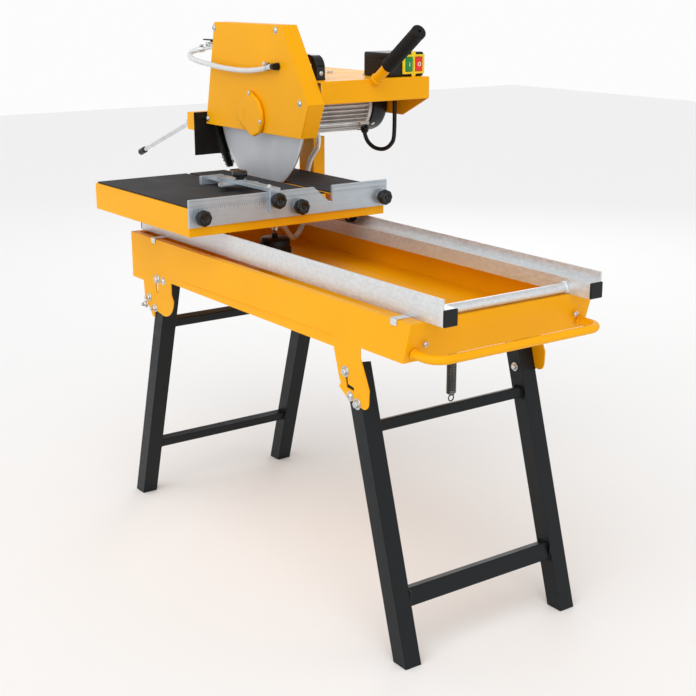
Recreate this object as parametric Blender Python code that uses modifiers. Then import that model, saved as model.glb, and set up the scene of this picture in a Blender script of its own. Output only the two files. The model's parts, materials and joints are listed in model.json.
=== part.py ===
"""Tile cutter: a wet saw on folding legs, with a table that rolls on two rails under a tilting head.

Metres, +Z up, the floor at Z 0. X runs along the tray, Y across it, and the head is over the -X end.
"""
import math

import bmesh
import bpy
from mathutils import Matrix, Vector

# --- clearances and sheet -------------------------------------------------------------------
GAP = 0.0003
SHEET = 0.0025
TUBE_WALL = 0.002
SIDES = 40
PIVOT_MARK = 0.03

# --- tray -----------------------------------------------------------------------------------
TRAY_REAR = -0.488
TRAY_FRONT = 0.510
TRAY_FRONT_SLANT = 0.020
TRAY_HALF_WIDTH = 0.208
TRAY_RIM = 0.6255
TRAY_FLOOR = 0.5675
TRAY_LIP = 0.014
SKIRT_REAR = 0.524
SKIRT_MIDDLE = 0.540
SKIRT_FRONT = 0.555

# --- rails on the tray ----------------------------------------------------------------------
RAIL_START = -0.492
RAIL_END = TRAY_FRONT + 0.0455
RAIL_CENTRE = 0.165
RAIL_WIDTH = 0.0284
RAIL_HEIGHT = 0.0285
RAIL_LIP = 0.018
RAIL_LIP_THICK = 0.003
CROSS_TUBE_X = TRAY_FRONT - 0.015
CROSS_TUBE_RADIUS = 0.0092

# --- bumper handle at the front of the tray ---------------------------------------------------
BUMPER_RADIUS = 0.008
BUMPER_X = TRAY_FRONT + 0.043
BUMPER_Z = 0.570
BUMPER_HALF_WIDTH = 0.190
BUMPER_BEND = 0.030

# --- folding legs ---------------------------------------------------------------------------
LEG = 0.035
LEG_ANGLE = math.radians(16.4)
LEG_SEAT = 0.0005
LEG_FOOT_PLATE = 0.003
LEG_HEAD = 0.015
FRONT_PIVOT_X, FRONT_PIVOT_Z = 0.340, 0.5015
REAR_PIVOT_X, REAR_PIVOT_Z = -0.352, 0.5385
BAR = 0.020
FRONT_BAR_UPPER_Z, FRONT_BAR_LOWER_Z = 0.405, 0.110
FRONT_BAR_LOWER_DEPTH, FRONT_BAR_LOWER_THICK = 0.033, 0.025
REAR_BAR_UPPER_Z, REAR_BAR_LOWER_Z = 0.436, 0.127
SPRING_RADIUS = 0.010
SPRING_X = 0.3695
SPRING_LOW, SPRING_HIGH = 0.4185, 0.556

# --- rolling table --------------------------------------------------------------------------
TABLE_REAR, TABLE_FRONT = -0.528, -0.109
TABLE_NEAR, TABLE_FAR = -0.269, 0.206
TABLE_TOP, TABLE_DEPTH = 0.733, 0.056
SLOT_WIDTH = 0.014
SLOT_FLOOR = 0.705
MAT_THICK = 0.003
MAT_EDGE = 0.004
MAT_SPLIT_NEAR, MAT_SPLIT_FAR = -0.0455, -0.0365
ROLLER_RADIUS = 0.013
ROLLER_WIDTH = 0.016
ROLLER_AXLE = 0.004
ROLLER_INSET = 0.060
ROLLER_LIP_GAP = 0.0015
CHEEK_THICK = 0.003
CHEEK_LENGTH = 0.024

# --- fence and mitre gauge --------------------------------------------------------------------
FENCE_THICK = 0.006
FENCE_LOW, FENCE_HIGH = 0.696, 0.751
FENCE_NEAR, FENCE_FAR = -0.271, 0.209
NOTCH_SLANT = 0.0405
NOTCH_WIDTH, NOTCH_FAR_GAP = 0.0055, 0.005
NOTCH_FLOOR = 0.716
KNOB_RADIUS, KNOB_THICK, KNOB_STEM = 0.0165, 0.014, 0.006
KNOB_LOBES, KNOB_WAVE, KNOB_STEM_SHARE, KNOB_EDGE = 8, 0.08, 0.55, 0.0012
FENCE_KNOBS = (("near", -0.246), ("middle", -0.017), ("far", 0.195))
FENCE_KNOB_Z = 0.7155
MITRE_Y = -0.078
MITRE_WIDTH = 0.024
MITRE_LOW, MITRE_HIGH = 0.7515, 0.759
MITRE_REACH = 0.205
MITRE_JAW = 0.008
MITRE_JAW_LOW = 0.712
MITRE_KNOB_Z = 0.735
MITRE_PIVOT_X = -0.232
MITRE_PLATE_RADIUS = 0.046
MITRE_PLATE_THICK = 0.004
MITRE_STOP_THICK = 0.010
MITRE_STOP_LENGTH = 0.056
MITRE_STOP_X = -0.345

# --- blade, motor and guard -------------------------------------------------------------------
BLADE_Y = 0.062
ARBOR_X, ARBOR_Z = -0.369, 0.888
BLADE_RADIUS = 0.175
BLADE_THICK = 0.0026
SHAFT_RADIUS = 0.0095
COLLAR_RADIUS = 0.030
COLLAR_THICK = 0.006
NUT_RADIUS = 0.016
ARBOR_END = 0.046
GUARD_NEAR, GUARD_FAR = 0.040, 0.082
GUARD_SHEET = 0.002
GUARD_OUTLINE = ((-0.576, 0.839), (-0.180, 0.840), (-0.150, 0.912), (-0.252, 1.070), (-0.527, 1.070))
GUARD_BORE = 0.034
HUB_OUTLINE = (
    (-0.367, 0.929), (-0.405, 0.904), (-0.424, 0.884), (-0.422, 0.869), (-0.400, 0.850), (-0.375, 0.834),
    (-0.352, 0.830), (-0.328, 0.840), (-0.317, 0.863), (-0.319, 0.888), (-0.331, 0.908),
)
HUB_THICK, HUB_EDGE = 0.010, 0.005
MOTOR_NEAR, MOTOR_FAR = 0.0825, 0.325
MOTOR_RADIUS, MOTOR_FIN = 0.063, 0.006
MOTOR_FINS = 26
MOTOR_BORE = 0.045
MOTOR_END_WALL = 0.012
ROTOR_RADIUS = 0.044
FAN_COVER_FAR = 0.369
FAN_COVER_RADIUS = 0.064
FAN_COVER_WALL = 0.002
FAN_COVER_SHOULDER = 0.7
FAN_COVER_EDGE = 0.006
ROTOR_CLEAR = 0.018
FAN_RADIUS, FAN_CLEAR, FAN_THICK = 0.052, 0.012, 0.016

# --- head plate, hinge and column -------------------------------------------------------------
HOOD_REAR, HOOD_FRONT = -0.560, -0.164
HOOD_NEAR, HOOD_FAR = 0.083, 0.372
HOOD_TOP, HOOD_FLANGE, HOOD_DEEP = 0.957, 0.910, 0.866
HOOD_DEEP_X = -0.255
HOOD_SHEET = 0.003
HOSE_NOTCH_X, HOSE_NOTCH = -0.245, 0.018
HINGE_X, HINGE_Z = -0.7445, 0.827
HINGE_WIDTH, HINGE_HEIGHT = 0.045, 0.042
HINGE_NEAR, HINGE_SPLIT, HINGE_FAR = 0.095, 0.205, 0.275
PIVOT_RADIUS = 0.010
PIVOT_START, PIVOT_END = 0.120, 0.283
PIVOT_FIT = 0.0004
ARM_NEAR, ARM_WIDTH = 0.150, 0.040
ARM_DEPTH = 0.045
COLUMN_FRONT, COLUMN_DEPTH = -0.401, 0.060
COLUMN_STANDOFF, COLUMN_WIDTH = 0.015, 0.031
COLUMN_NEAR = TRAY_HALF_WIDTH + COLUMN_STANDOFF
COLUMN_LOW, COLUMN_TOP = 0.545, 0.812
COLUMN_ARM_DEPTH = 0.040
COLUMN_PLATE_LENGTH, COLUMN_PLATE_HEIGHT, COLUMN_PLATE_THICK = 0.120, 0.076, 0.006

# --- clamp lever behind the hinge ---------------------------------------------------------------
CLAMP_Y, CLAMP_Z = 0.108, 0.821
CLAMP_HUB_RADIUS, CLAMP_HUB = 0.011, 0.014
CLAMP_ROD_RADIUS, CLAMP_ROD = 0.0055, 0.270
CLAMP_SLOPE = math.radians(20)
CLAMP_KNOB_RADIUS, CLAMP_KNOB = 0.0085, 0.030

# --- handles and switch -------------------------------------------------------------------------
LEVER_Y = 0.222
LEVER_SLOPE = math.radians(36)
LEVER_RADIUS = 0.011
LEVER_START_X, LEVER_START_Z = -0.166, 0.951
LEVER_LENGTH = 0.165
GRIP_RADIUS = 0.0158
GRIP_START, GRIP_END = 0.060, 0.188
GRIP_FIT = 0.0004
GRIP_HOLE, GRIP_EDGE = 0.003, 0.003
CARRY_REAR, CARRY_FRONT, CARRY_TOP = -0.345, -0.203, 1.009
CARRY_NEAR, CARRY_WIDTH, CARRY_THICK = 0.098, 0.022, 0.020
BOX_REAR, BOX_FRONT, BOX_NEAR, BOX_FAR, BOX_HIGH = -0.268, -0.182, 0.268, 0.370, 0.052
PLATE_NEAR, PLATE_FAR, PLATE_LOW, PLATE_HIGH, PLATE_THICK = 0.309, 0.3685, 0.963, 1.004, 0.004
BUTTON_WIDTH, BUTTON_HEIGHT, BUTTON_THICK, BUTTON_PROUD = 0.018, 0.030, 0.008, 0.0025
BUTTON_FIT = 0.0005
BUTTON_POCKET = 0.005
BUTTONS = (("start_button", 0.325), ("stop_button", 0.352))

# --- water and dirt -----------------------------------------------------------------------------
CURTAIN_X, CURTAIN_THICK = -0.5785, 0.003
CURTAIN_HALF_WIDTH, CURTAIN_LOW, CURTAIN_HIGH = 0.052, 0.767, 0.866
BRUSH_HALF_WIDTH, BRUSH_GAP, BRUSH_THICK = 0.007, 0.008, 0.018
BRUSH_START, BRUSH_END = math.radians(195), math.radians(226)
TAP_Z, TAP_RADIUS, TAP_LENGTH, TAP_TIP = 1.014, 0.009, 0.052, 0.004
TAP_LEVER_LENGTH, TAP_LEVER_WIDTH, TAP_LEVER_THICK = 0.034, 0.010, 0.003
TAP_STEM_RADIUS, TAP_STEM = 0.004, 0.006
TAP_SEAT = 0.036
HOSE_RADIUS = 0.006
PUMP_X, PUMP_Y, PUMP_RADIUS, PUMP_HIGH, PUMP_SPOUT = -0.270, 0.030, 0.036, 0.052, 0.009
LEAD_RADIUS = 0.0048
SMOOTH_STEPS = 6

SPRAY_HOSE = (
    (-0.5890, 0.0480, 1.0080), (-0.5990, 0.0380, 1.0060), (-0.6090, 0.0260, 1.0010), (-0.6030, 0.0170, 0.9930),
    (-0.5800, 0.0160, 0.9850), (-0.5300, 0.0220, 0.9780), (-0.4600, 0.0265, 0.9720), (-0.3800, 0.0280, 0.9710),
    (-0.3200, 0.0280, 0.9760), (-0.2680, 0.0280, 0.9850),
)
HEAD_HOSE = (
    (-0.5800, 0.0790, 1.0140), (-0.5500, 0.0900, 1.0100), (-0.4900, 0.0900, 0.9980), (-0.4100, 0.0900, 0.9880),
    (-0.3200, 0.0900, 0.9860), (-0.2720, 0.0900, 0.9830), (-0.2500, 0.0900, 0.9680), (-0.2450, 0.0905, 0.9400),
    (-0.2550, 0.1050, 0.9000), (-0.2750, 0.1350, 0.8600), (-0.3050, 0.1700, 0.8250), (-0.3500, 0.2000, 0.8030),
)
FEED_HOSE = (
    (-0.3508, 0.2005, 0.8026), (-0.3740, 0.2145, 0.7900), (-0.4020, 0.2150, 0.7600), (-0.4150, 0.2145, 0.7200),
    (-0.4080, 0.2145, 0.6800), (-0.3950, 0.2020, 0.6480), (-0.3800, 0.1750, 0.6130), (-0.3550, 0.1400, 0.5950),
    (-0.3200, 0.1050, 0.6050), (-0.2900, 0.0650, 0.6360), (-0.2740, 0.0380, 0.6440), (-0.2700, 0.0300, 0.6330),
)
MOTOR_LEAD = (
    (-0.3280, 0.3160, 0.8335), (-0.3285, 0.3175, 0.8180), (-0.3215, 0.3220, 0.8010), (-0.3060, 0.3300, 0.7890),
    (-0.2850, 0.3395, 0.7880), (-0.2680, 0.3465, 0.8000), (-0.2605, 0.3495, 0.8230), (-0.2600, 0.3500, 0.9000),
    (-0.2600, 0.3500, 0.9535),
)

PAINTS = {
    "yellow_paint": ((0.91, 0.42, 0.012), 0.38, 0.0),
    "black_paint": ((0.016, 0.020, 0.022), 0.45, 0.0),
    "zinc": ((0.62, 0.64, 0.65), 0.36, 0.9),
    "aluminium": ((0.60, 0.61, 0.63), 0.40, 0.9),
    "steel": ((0.55, 0.56, 0.58), 0.32, 1.0),
    "black_rubber": ((0.035, 0.035, 0.037), 0.8, 0.0),
    "black_plastic": ((0.018, 0.018, 0.020), 0.45, 0.0),
    "yellow_plastic": ((0.90, 0.68, 0.02), 0.4, 0.0),
    "green_plastic": ((0.02, 0.30, 0.06), 0.35, 0.0),
    "red_plastic": ((0.60, 0.03, 0.02), 0.35, 0.0),
    "clear_hose": ((0.80, 0.82, 0.84), 0.25, 0.0),
}


# --- tools --------------------------------------------------------------------------------------
def clear_scene():
    for obj in list(bpy.data.objects):
        bpy.data.objects.remove(obj)


def new_collection(name, hidden=False):
    collection = bpy.data.collections.new(name)
    bpy.context.scene.collection.children.link(collection)
    collection.hide_render = hidden
    return collection


def make_paints():
    for name, (colour, roughness, metallic) in PAINTS.items():
        paint = bpy.data.materials.new(name)
        paint.use_nodes = True
        shader = paint.node_tree.nodes["Principled BSDF"]
        shader.inputs["Base Color"].default_value = (*colour, 1.0)
        shader.inputs["Roughness"].default_value = roughness
        shader.inputs["Metallic"].default_value = metallic
        paint.diffuse_color = (*colour, 1.0)


def new_object(name, mesh, paint=None):
    """A part goes in the object's collection with its paint, and a cutter goes in the other one."""
    obj = bpy.data.objects.new(name, mesh)
    if paint:
        bpy.data.collections["tile_cutter"].objects.link(obj)
        mesh.materials.append(bpy.data.materials[paint])
    else:
        bpy.data.collections["cutters"].objects.link(obj)
        obj.hide_render = True
        obj.display_type = "WIRE"
    return obj


def mesh_of(name, form):
    mesh = bpy.data.meshes.new(name)
    form.to_mesh(mesh)
    form.free()
    return mesh


def box(name, low, high, paint=None):
    low, high = Vector(low), Vector(high)
    form = bmesh.new()
    bmesh.ops.create_cube(form, size=1.0, matrix=Matrix.Diagonal((*(high - low), 1.0)))
    obj = new_object(name, mesh_of(name, form), paint)
    obj.location = (low + high) / 2
    return obj


def rod(name, start, end, radius, paint=None, sides=SIDES, end_radius=None):
    start, end = Vector(start), Vector(end)
    form = bmesh.new()
    bmesh.ops.create_cone(form, cap_ends=True, segments=sides, radius1=radius,
                          radius2=radius if end_radius is None else end_radius, depth=(end - start).length)
    obj = new_object(name, mesh_of(name, form), paint)
    obj.location = (start + end) / 2
    obj.rotation_euler = (end - start).to_track_quat("Z", "Y").to_euler()
    return obj


FACING = {
    "x": Matrix(((0, 0, 1), (1, 0, 0), (0, 1, 0))),
    "y": Matrix(((1, 0, 0), (0, 0, -1), (0, 1, 0))),
    "z": Matrix.Identity(3),
}


def plate(name, outlines, axis, low, high, paint=None):
    """Flat outlines, the later ones being holes, made thick from low to high along an axis."""
    flat = bpy.data.curves.new(name, "CURVE")
    flat.dimensions = "2D"
    flat.fill_mode = "BOTH"
    flat.extrude = (high - low) / 2
    for outline in outlines:
        spline = flat.splines.new("POLY")
        spline.points.add(len(outline) - 1)
        spline.use_cyclic_u = True
        for point, (across, up) in zip(spline.points, outline):
            point.co = (across, up, 0, 1)
    maker = bpy.data.objects.new(name, flat)
    bpy.context.scene.collection.objects.link(maker)
    mesh = bpy.data.meshes.new_from_object(maker.evaluated_get(bpy.context.evaluated_depsgraph_get()))
    bpy.data.objects.remove(maker)
    form = bmesh.new()
    form.from_mesh(mesh)
    bmesh.ops.remove_doubles(form, verts=form.verts, dist=1e-6)
    bmesh.ops.recalc_face_normals(form, faces=form.faces)
    form.to_mesh(mesh)
    form.free()
    mesh.name = name
    obj = new_object(name, mesh, paint)
    obj.rotation_euler = FACING[axis].to_euler()
    obj.location["xyz".index(axis)] = (low + high) / 2
    return obj


def turned(name, profile, start, direction, paint, sides=SIDES):
    """A closed profile of (radius, distance), listed anticlockwise, turned about a line."""
    profile = profile[::-1]
    mesh = bpy.data.meshes.new(name)
    mesh.from_pydata([(radius, 0, along) for radius, along in profile],
                     [(i, (i + 1) % len(profile)) for i in range(len(profile))], [])
    obj = new_object(name, mesh, paint)
    turn = obj.modifiers.new("Turn", "SCREW")
    turn.axis = "Z"
    turn.steps = turn.render_steps = sides
    turn.use_merge_vertices = True
    turn.merge_threshold = 0.00001
    obj.location = start
    obj.rotation_euler = Vector(direction).to_track_quat("Z", "Y").to_euler()
    return obj


def smooth_route(points):
    """A Catmull-Rom curve through the points."""
    points = [Vector(point) for point in points]
    ends = [2 * points[0] - points[1]] + points + [2 * points[-1] - points[-2]]
    route = []
    for before, here, after, later in zip(ends, ends[1:], ends[2:], ends[3:]):
        for step in range(SMOOTH_STEPS):
            t = step / SMOOTH_STEPS
            route.append(0.5 * (2 * here + (after - before) * t
                                + (2 * before - 5 * here + 4 * after - later) * t ** 2
                                + (3 * here - before - 3 * after + later) * t ** 3))
    return route + [points[-1]]


def cord(name, points, radius, paint, resolution=2):
    curve = bpy.data.curves.new(name, "CURVE")
    curve.dimensions = "3D"
    curve.bevel_depth = radius
    curve.bevel_resolution = resolution
    curve.use_fill_caps = True
    spline = curve.splines.new("POLY")
    spline.points.add(len(points) - 1)
    for point, place in zip(spline.points, points):
        point.co = (*place, 1)
    obj = bpy.data.objects.new(name, curve)
    bpy.data.collections["tile_cutter"].objects.link(obj)
    curve.materials.append(bpy.data.materials[paint])
    return obj


def combine(obj, other, operation):
    joint = obj.modifiers.new(operation.title(), "BOOLEAN")
    joint.operation = operation
    joint.solver = "EXACT"
    joint.object = other
    return obj


def cut(obj, *cutters):
    for cutter in cutters:
        combine(obj, cutter, "DIFFERENCE")
    return obj


def weld(obj, *pieces):
    for piece in pieces:
        combine(obj, piece, "UNION")
    return obj


def soften(obj, width, segments=2, angle=50):
    bevel = obj.modifiers.new("Soften", "BEVEL")
    bevel.width = width
    bevel.segments = segments
    bevel.limit_method = "ANGLE"
    bevel.angle_limit = math.radians(angle)
    return obj


def arc(centre, radius, start, end, count):
    """Points on an arc from one angle to another, in degrees, both ends included."""
    angles = [math.radians(start + (end - start) * i / count) for i in range(count + 1)]
    return [(centre[0] + radius * math.cos(a), centre[1] + radius * math.sin(a)) for a in angles]


def inset(outline, distance):
    """An outline that runs anticlockwise, with each side moved in by a distance."""
    sides = []
    for here, after in zip(outline, outline[1:] + outline[:1]):
        along = (Vector(after) - Vector(here)).normalized()
        inward = Vector((-along.y, along.x))
        sides.append((Vector(here) + inward * distance, along))
    corners = []
    for (first, one), (second, two) in zip(sides[-1:] + sides[:-1], sides):
        gap = second - first
        corners.append(tuple(first + one * (gap.cross(two) / one.cross(two))))
    return corners


def pivot(name, place, *pieces):
    """An empty on a joint's axis, with the moving pieces under it and left where they are."""
    empty = bpy.data.objects.new(name, None)
    bpy.data.collections["tile_cutter"].objects.link(empty)
    empty.location = place
    empty.empty_display_size = PIVOT_MARK
    for piece in pieces:
        piece.parent = empty
        piece.matrix_parent_inverse = Matrix.Translation(-Vector(place))
    return empty


# --- tray, rails and bumper -----------------------------------------------------------------------
def tray_side():
    """The outline of a side sheet with its two leg brackets, anticlockwise seen from the near side."""
    rear_lobe = arc((REAR_PIVOT_X + 0.006, REAR_PIVOT_Z - 0.034), 0.044, 250, 355, 7)
    front_lobe = arc((FRONT_PIVOT_X + 0.042, FRONT_PIVOT_Z - 0.041), 0.014, 250, 350, 4)
    rear_bracket = [
        (REAR_PIVOT_X - 0.085, SKIRT_REAR), (REAR_PIVOT_X - 0.082, REAR_PIVOT_Z - 0.050),
        (REAR_PIVOT_X - 0.057, REAR_PIVOT_Z - 0.076), (REAR_PIVOT_X - 0.048, REAR_PIVOT_Z - 0.089),
        (REAR_PIVOT_X - 0.040, REAR_PIVOT_Z - 0.089), (REAR_PIVOT_X - 0.036, REAR_PIVOT_Z - 0.072),
        *rear_lobe,
        (REAR_PIVOT_X + 0.041, REAR_PIVOT_Z - 0.024), (REAR_PIVOT_X + 0.041, SKIRT_MIDDLE),
    ]
    front_bracket = [
        (FRONT_PIVOT_X - 0.047, SKIRT_MIDDLE), (FRONT_PIVOT_X - 0.030, FRONT_PIVOT_Z - 0.016),
        (FRONT_PIVOT_X - 0.025, FRONT_PIVOT_Z - 0.022), (FRONT_PIVOT_X - 0.031, FRONT_PIVOT_Z - 0.030),
        (FRONT_PIVOT_X - 0.007, FRONT_PIVOT_Z - 0.045), (FRONT_PIVOT_X + 0.013, FRONT_PIVOT_Z - 0.048),
        *front_lobe,
        (FRONT_PIVOT_X + 0.057, FRONT_PIVOT_Z - 0.017), (FRONT_PIVOT_X + 0.032, FRONT_PIVOT_Z + 0.035),
        (FRONT_PIVOT_X + 0.031, SKIRT_FRONT),
    ]
    return [
        (TRAY_REAR, TRAY_RIM), (TRAY_REAR, SKIRT_REAR), *rear_bracket, *front_bracket,
        (TRAY_FRONT - TRAY_FRONT_SLANT, SKIRT_FRONT), (TRAY_FRONT, TRAY_RIM),
    ]


def front_wall_x(height):
    """How far the slanted front wall's outer face is along X at a height."""
    share = (height - SKIRT_FRONT) / (TRAY_RIM - SKIRT_FRONT)
    return TRAY_FRONT - TRAY_FRONT_SLANT * (1 - share)


def make_tray():
    inner = TRAY_HALF_WIDTH - SHEET
    above, below = TRAY_RIM + SHEET, FRONT_PIVOT_Z - 0.1
    underside = TRAY_FLOOR - SHEET
    tray = plate("tray", [tray_side()], "y", -TRAY_HALF_WIDTH, TRAY_HALF_WIDTH, "yellow_paint")
    basin = plate("basin_cutter", [[
        (TRAY_REAR + SHEET, TRAY_FLOOR), (front_wall_x(TRAY_FLOOR) - SHEET, TRAY_FLOOR),
        (front_wall_x(TRAY_RIM - SHEET) - SHEET, TRAY_RIM - SHEET), (TRAY_REAR + SHEET, TRAY_RIM - SHEET),
    ]], "y", -inner, inner)
    mouth = box("mouth_cutter", (TRAY_REAR + TRAY_LIP, TRAY_LIP - TRAY_HALF_WIDTH, TRAY_RIM - 2 * SHEET),
                (TRAY_FRONT - TRAY_LIP - SHEET, TRAY_HALF_WIDTH - TRAY_LIP, above))
    under = plate("under_cutter", [[
        (TRAY_REAR + SHEET, below), (front_wall_x(below) - SHEET, below),
        (front_wall_x(underside) - SHEET, underside), (TRAY_REAR + SHEET, underside),
    ]], "y", -inner, inner)
    return cut(tray, basin, mouth, under)


def rail_base():
    return TRAY_RIM + GAP


def rail_top():
    return rail_base() + RAIL_HEIGHT


def make_rail(name, side):
    outer, inner = RAIL_CENTRE + RAIL_WIDTH / 2, RAIL_CENTRE - RAIL_WIDTH / 2
    base, top = rail_base(), rail_top()
    shell = [(outer, base), (inner, base), (inner, top), (outer - RAIL_LIP_THICK, top),
             (outer - RAIL_LIP_THICK, top + RAIL_LIP), (outer, top + RAIL_LIP)]
    hollow = [(outer - TUBE_WALL, base + TUBE_WALL), (inner + TUBE_WALL, base + TUBE_WALL),
              (inner + TUBE_WALL, top - TUBE_WALL), (outer - TUBE_WALL, top - TUBE_WALL)]
    outlines = [[(side * across, up) for across, up in outline] for outline in (shell, hollow)]
    return plate(name, outlines, "x", RAIL_START, RAIL_END, "zinc")


def make_cross_tube():
    reach = RAIL_CENTRE - RAIL_WIDTH / 2 - GAP
    height = rail_base() + CROSS_TUBE_RADIUS + GAP
    return rod("cross_tube", (CROSS_TUBE_X, -reach, height), (CROSS_TUBE_X, reach, height),
               CROSS_TUBE_RADIUS, "zinc", sides=24)


def make_bumper():
    """A tube bent into a U, with its ends mitred to the slanted front wall."""
    start = front_wall_x(BUMPER_Z) + BUMPER_RADIUS * TRAY_FRONT_SLANT / (TRAY_RIM - SKIRT_FRONT) + GAP
    bend_x, bend_y = BUMPER_X - BUMPER_BEND, BUMPER_HALF_WIDTH - BUMPER_BEND
    half = [(start, BUMPER_HALF_WIDTH)] + arc((bend_x, bend_y), BUMPER_BEND, 90, 0, 8)
    outline = [(x, -y) for x, y in half] + [(x, y) for x, y in reversed(half)]
    return cord("bumper_handle", [(x, y, BUMPER_Z) for x, y in outline], BUMPER_RADIUS, "yellow_paint", 4)


# --- legs -----------------------------------------------------------------------------------------
def leg_x(pivot_x, pivot_z, outward, height):
    """Where a leg's centre line is along X at a height."""
    return pivot_x + outward * (pivot_z - height) * math.tan(LEG_ANGLE)


def make_leg(name, pivot_x, pivot_z, outward, side):
    along = Vector((-outward * math.sin(LEG_ANGLE), math.cos(LEG_ANGLE)))
    across = Vector((along.y, -along.x))
    head = Vector((pivot_x, pivot_z)) + along * LEG_HEAD

    def section(half, foot, top):
        """The four corners of the leg at half its width, cut level at foot and square at its head."""
        corners = []
        for edge in (-half, half):
            start = head + across * edge
            corners.append(start + along * ((foot - start.y) / along.y))
        corners += [head + across * half + along * top, head - across * half + along * top]
        return [tuple(corner) for corner in corners]

    outer = TRAY_HALF_WIDTH - SHEET - LEG_SEAT
    low, high = sorted((side * outer, side * (outer - LEG)))
    leg = plate(name, [section(LEG / 2, 0, 0)], "y", low, high, "black_paint")
    hollow = plate(name + "_cutter", [section(LEG / 2 - TUBE_WALL, LEG_FOOT_PLATE, TUBE_WALL)], "y",
                   low + TUBE_WALL, high - TUBE_WALL)
    return cut(leg, hollow)


def make_bar(name, pivot_x, pivot_z, outward, height, depth, thick):
    reach = TRAY_HALF_WIDTH - SHEET - LEG_SEAT - LEG - GAP
    bar = box(name, (-thick / 2, -reach, -depth / 2), (thick / 2, reach, depth / 2), "black_paint")
    bar.location = (leg_x(pivot_x, pivot_z, outward, height), 0, height)
    bar.rotation_euler.y = -outward * LEG_ANGLE
    return bar


def make_leg_frame(name, pivot_x, pivot_z, outward, bars):
    pieces = [make_leg(f"{name}_leg_{word}", pivot_x, pivot_z, outward, side)
              for word, side in (("near", -1), ("far", 1))]
    pieces += [make_bar(f"{name}_bar_{word}", pivot_x, pivot_z, outward, height, depth, thick)
               for word, height, depth, thick in bars]
    pivot(name + "_leg_pivot", (pivot_x, 0, pivot_z), *pieces)


def make_legs():
    make_leg_frame("front", FRONT_PIVOT_X, FRONT_PIVOT_Z, 1, (
        ("upper", FRONT_BAR_UPPER_Z, BAR, BAR),
        ("lower", FRONT_BAR_LOWER_Z, FRONT_BAR_LOWER_DEPTH, FRONT_BAR_LOWER_THICK)))
    make_leg_frame("rear", REAR_PIVOT_X, REAR_PIVOT_Z, -1, (
        ("upper", REAR_BAR_UPPER_Z, BAR, BAR), ("lower", REAR_BAR_LOWER_Z, BAR, BAR)))
    rod("leg_spring", (SPRING_X, 0, SPRING_LOW), (SPRING_X, 0, SPRING_HIGH), SPRING_RADIUS, "steel", sides=16)


# --- table ----------------------------------------------------------------------------------------
def roller_cheek():
    """How far a roller's outer cheek reaches from the middle of the roller."""
    return ROLLER_WIDTH / 2 + ROLLER_AXLE / 2 + 2 * GAP + CHEEK_THICK


def roller_places():
    track = RAIL_CENTRE + RAIL_WIDTH / 2 - RAIL_LIP_THICK - ROLLER_LIP_GAP - roller_cheek()
    for word, x in (("rear", TABLE_REAR + ROLLER_INSET), ("front", TABLE_FRONT - ROLLER_INSET)):
        for side, y in (("near", -track), ("far", track)):
            yield f"{word}_{side}", x, y


def axle_height():
    return rail_top() + GAP + ROLLER_RADIUS


def make_table():
    table = box("table", (TABLE_REAR, TABLE_NEAR, TABLE_TOP - TABLE_DEPTH), (TABLE_FRONT, TABLE_FAR, TABLE_TOP),
                "yellow_paint")
    cut(table, box("table_cutter",
                   (TABLE_REAR + SHEET, TABLE_NEAR + SHEET, TABLE_TOP - TABLE_DEPTH - SHEET),
                   (TABLE_FRONT - SHEET, TABLE_FAR - SHEET, TABLE_TOP - SHEET)))
    for word, x, y in roller_places():
        for side in (-1, 1):
            edge = y + side * (roller_cheek() - CHEEK_THICK / 2)
            weld(table, box(f"cheek_{word}_{side}",
                            (x - CHEEK_LENGTH / 2, edge - CHEEK_THICK / 2, axle_height() - ROLLER_AXLE),
                            (x + CHEEK_LENGTH / 2, edge + CHEEK_THICK / 2, TABLE_TOP - SHEET / 2)))
    half = SLOT_WIDTH / 2
    return cut(table, box("slot_cutter", (TABLE_REAR - SHEET, BLADE_Y - half, SLOT_FLOOR),
                          (TABLE_FRONT + SHEET, BLADE_Y + half, TABLE_TOP + SHEET)))


def make_mats():
    strips = (("near", TABLE_NEAR + MAT_EDGE, MAT_SPLIT_NEAR),
              ("middle", MAT_SPLIT_FAR, BLADE_Y - SLOT_WIDTH / 2 - GAP),
              ("far", BLADE_Y + SLOT_WIDTH / 2 + GAP, TABLE_FAR - MAT_EDGE))
    base = TABLE_TOP + GAP
    return [box(f"mat_{word}", (TABLE_REAR + MAT_EDGE, near, base),
                (TABLE_FRONT - MAT_EDGE, far, base + MAT_THICK), "black_rubber") for word, near, far in strips]


def make_rollers():
    half, stub = ROLLER_WIDTH / 2, ROLLER_WIDTH / 2 + ROLLER_AXLE / 2
    profile = [(0, -stub), (ROLLER_AXLE, -stub), (ROLLER_AXLE, -half), (ROLLER_RADIUS, -half),
               (ROLLER_RADIUS, half), (ROLLER_AXLE, half), (ROLLER_AXLE, stub), (0, stub)]
    return [pivot(f"roller_{word}_axle", (x, y, axle_height()),
                  turned(f"roller_{word}", profile, (x, y, axle_height()), (0, 1, 0), "black_plastic", 24))
            for word, x, y in roller_places()]


def fence_face():
    return TABLE_FRONT + GAP + FENCE_THICK


def make_fence():
    notch_high = BLADE_Y + NOTCH_FAR_GAP
    notch_low = notch_high - NOTCH_WIDTH
    outline = [
        (FENCE_NEAR, FENCE_LOW), (FENCE_FAR, FENCE_LOW), (FENCE_FAR, FENCE_HIGH),
        (notch_high, FENCE_HIGH), (notch_high, NOTCH_FLOOR), (notch_low, NOTCH_FLOOR),
        (notch_low - NOTCH_SLANT, FENCE_HIGH), (FENCE_NEAR, FENCE_HIGH),
    ]
    return plate("fence", [outline], "x", TABLE_FRONT + GAP, fence_face(), "aluminium")


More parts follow.
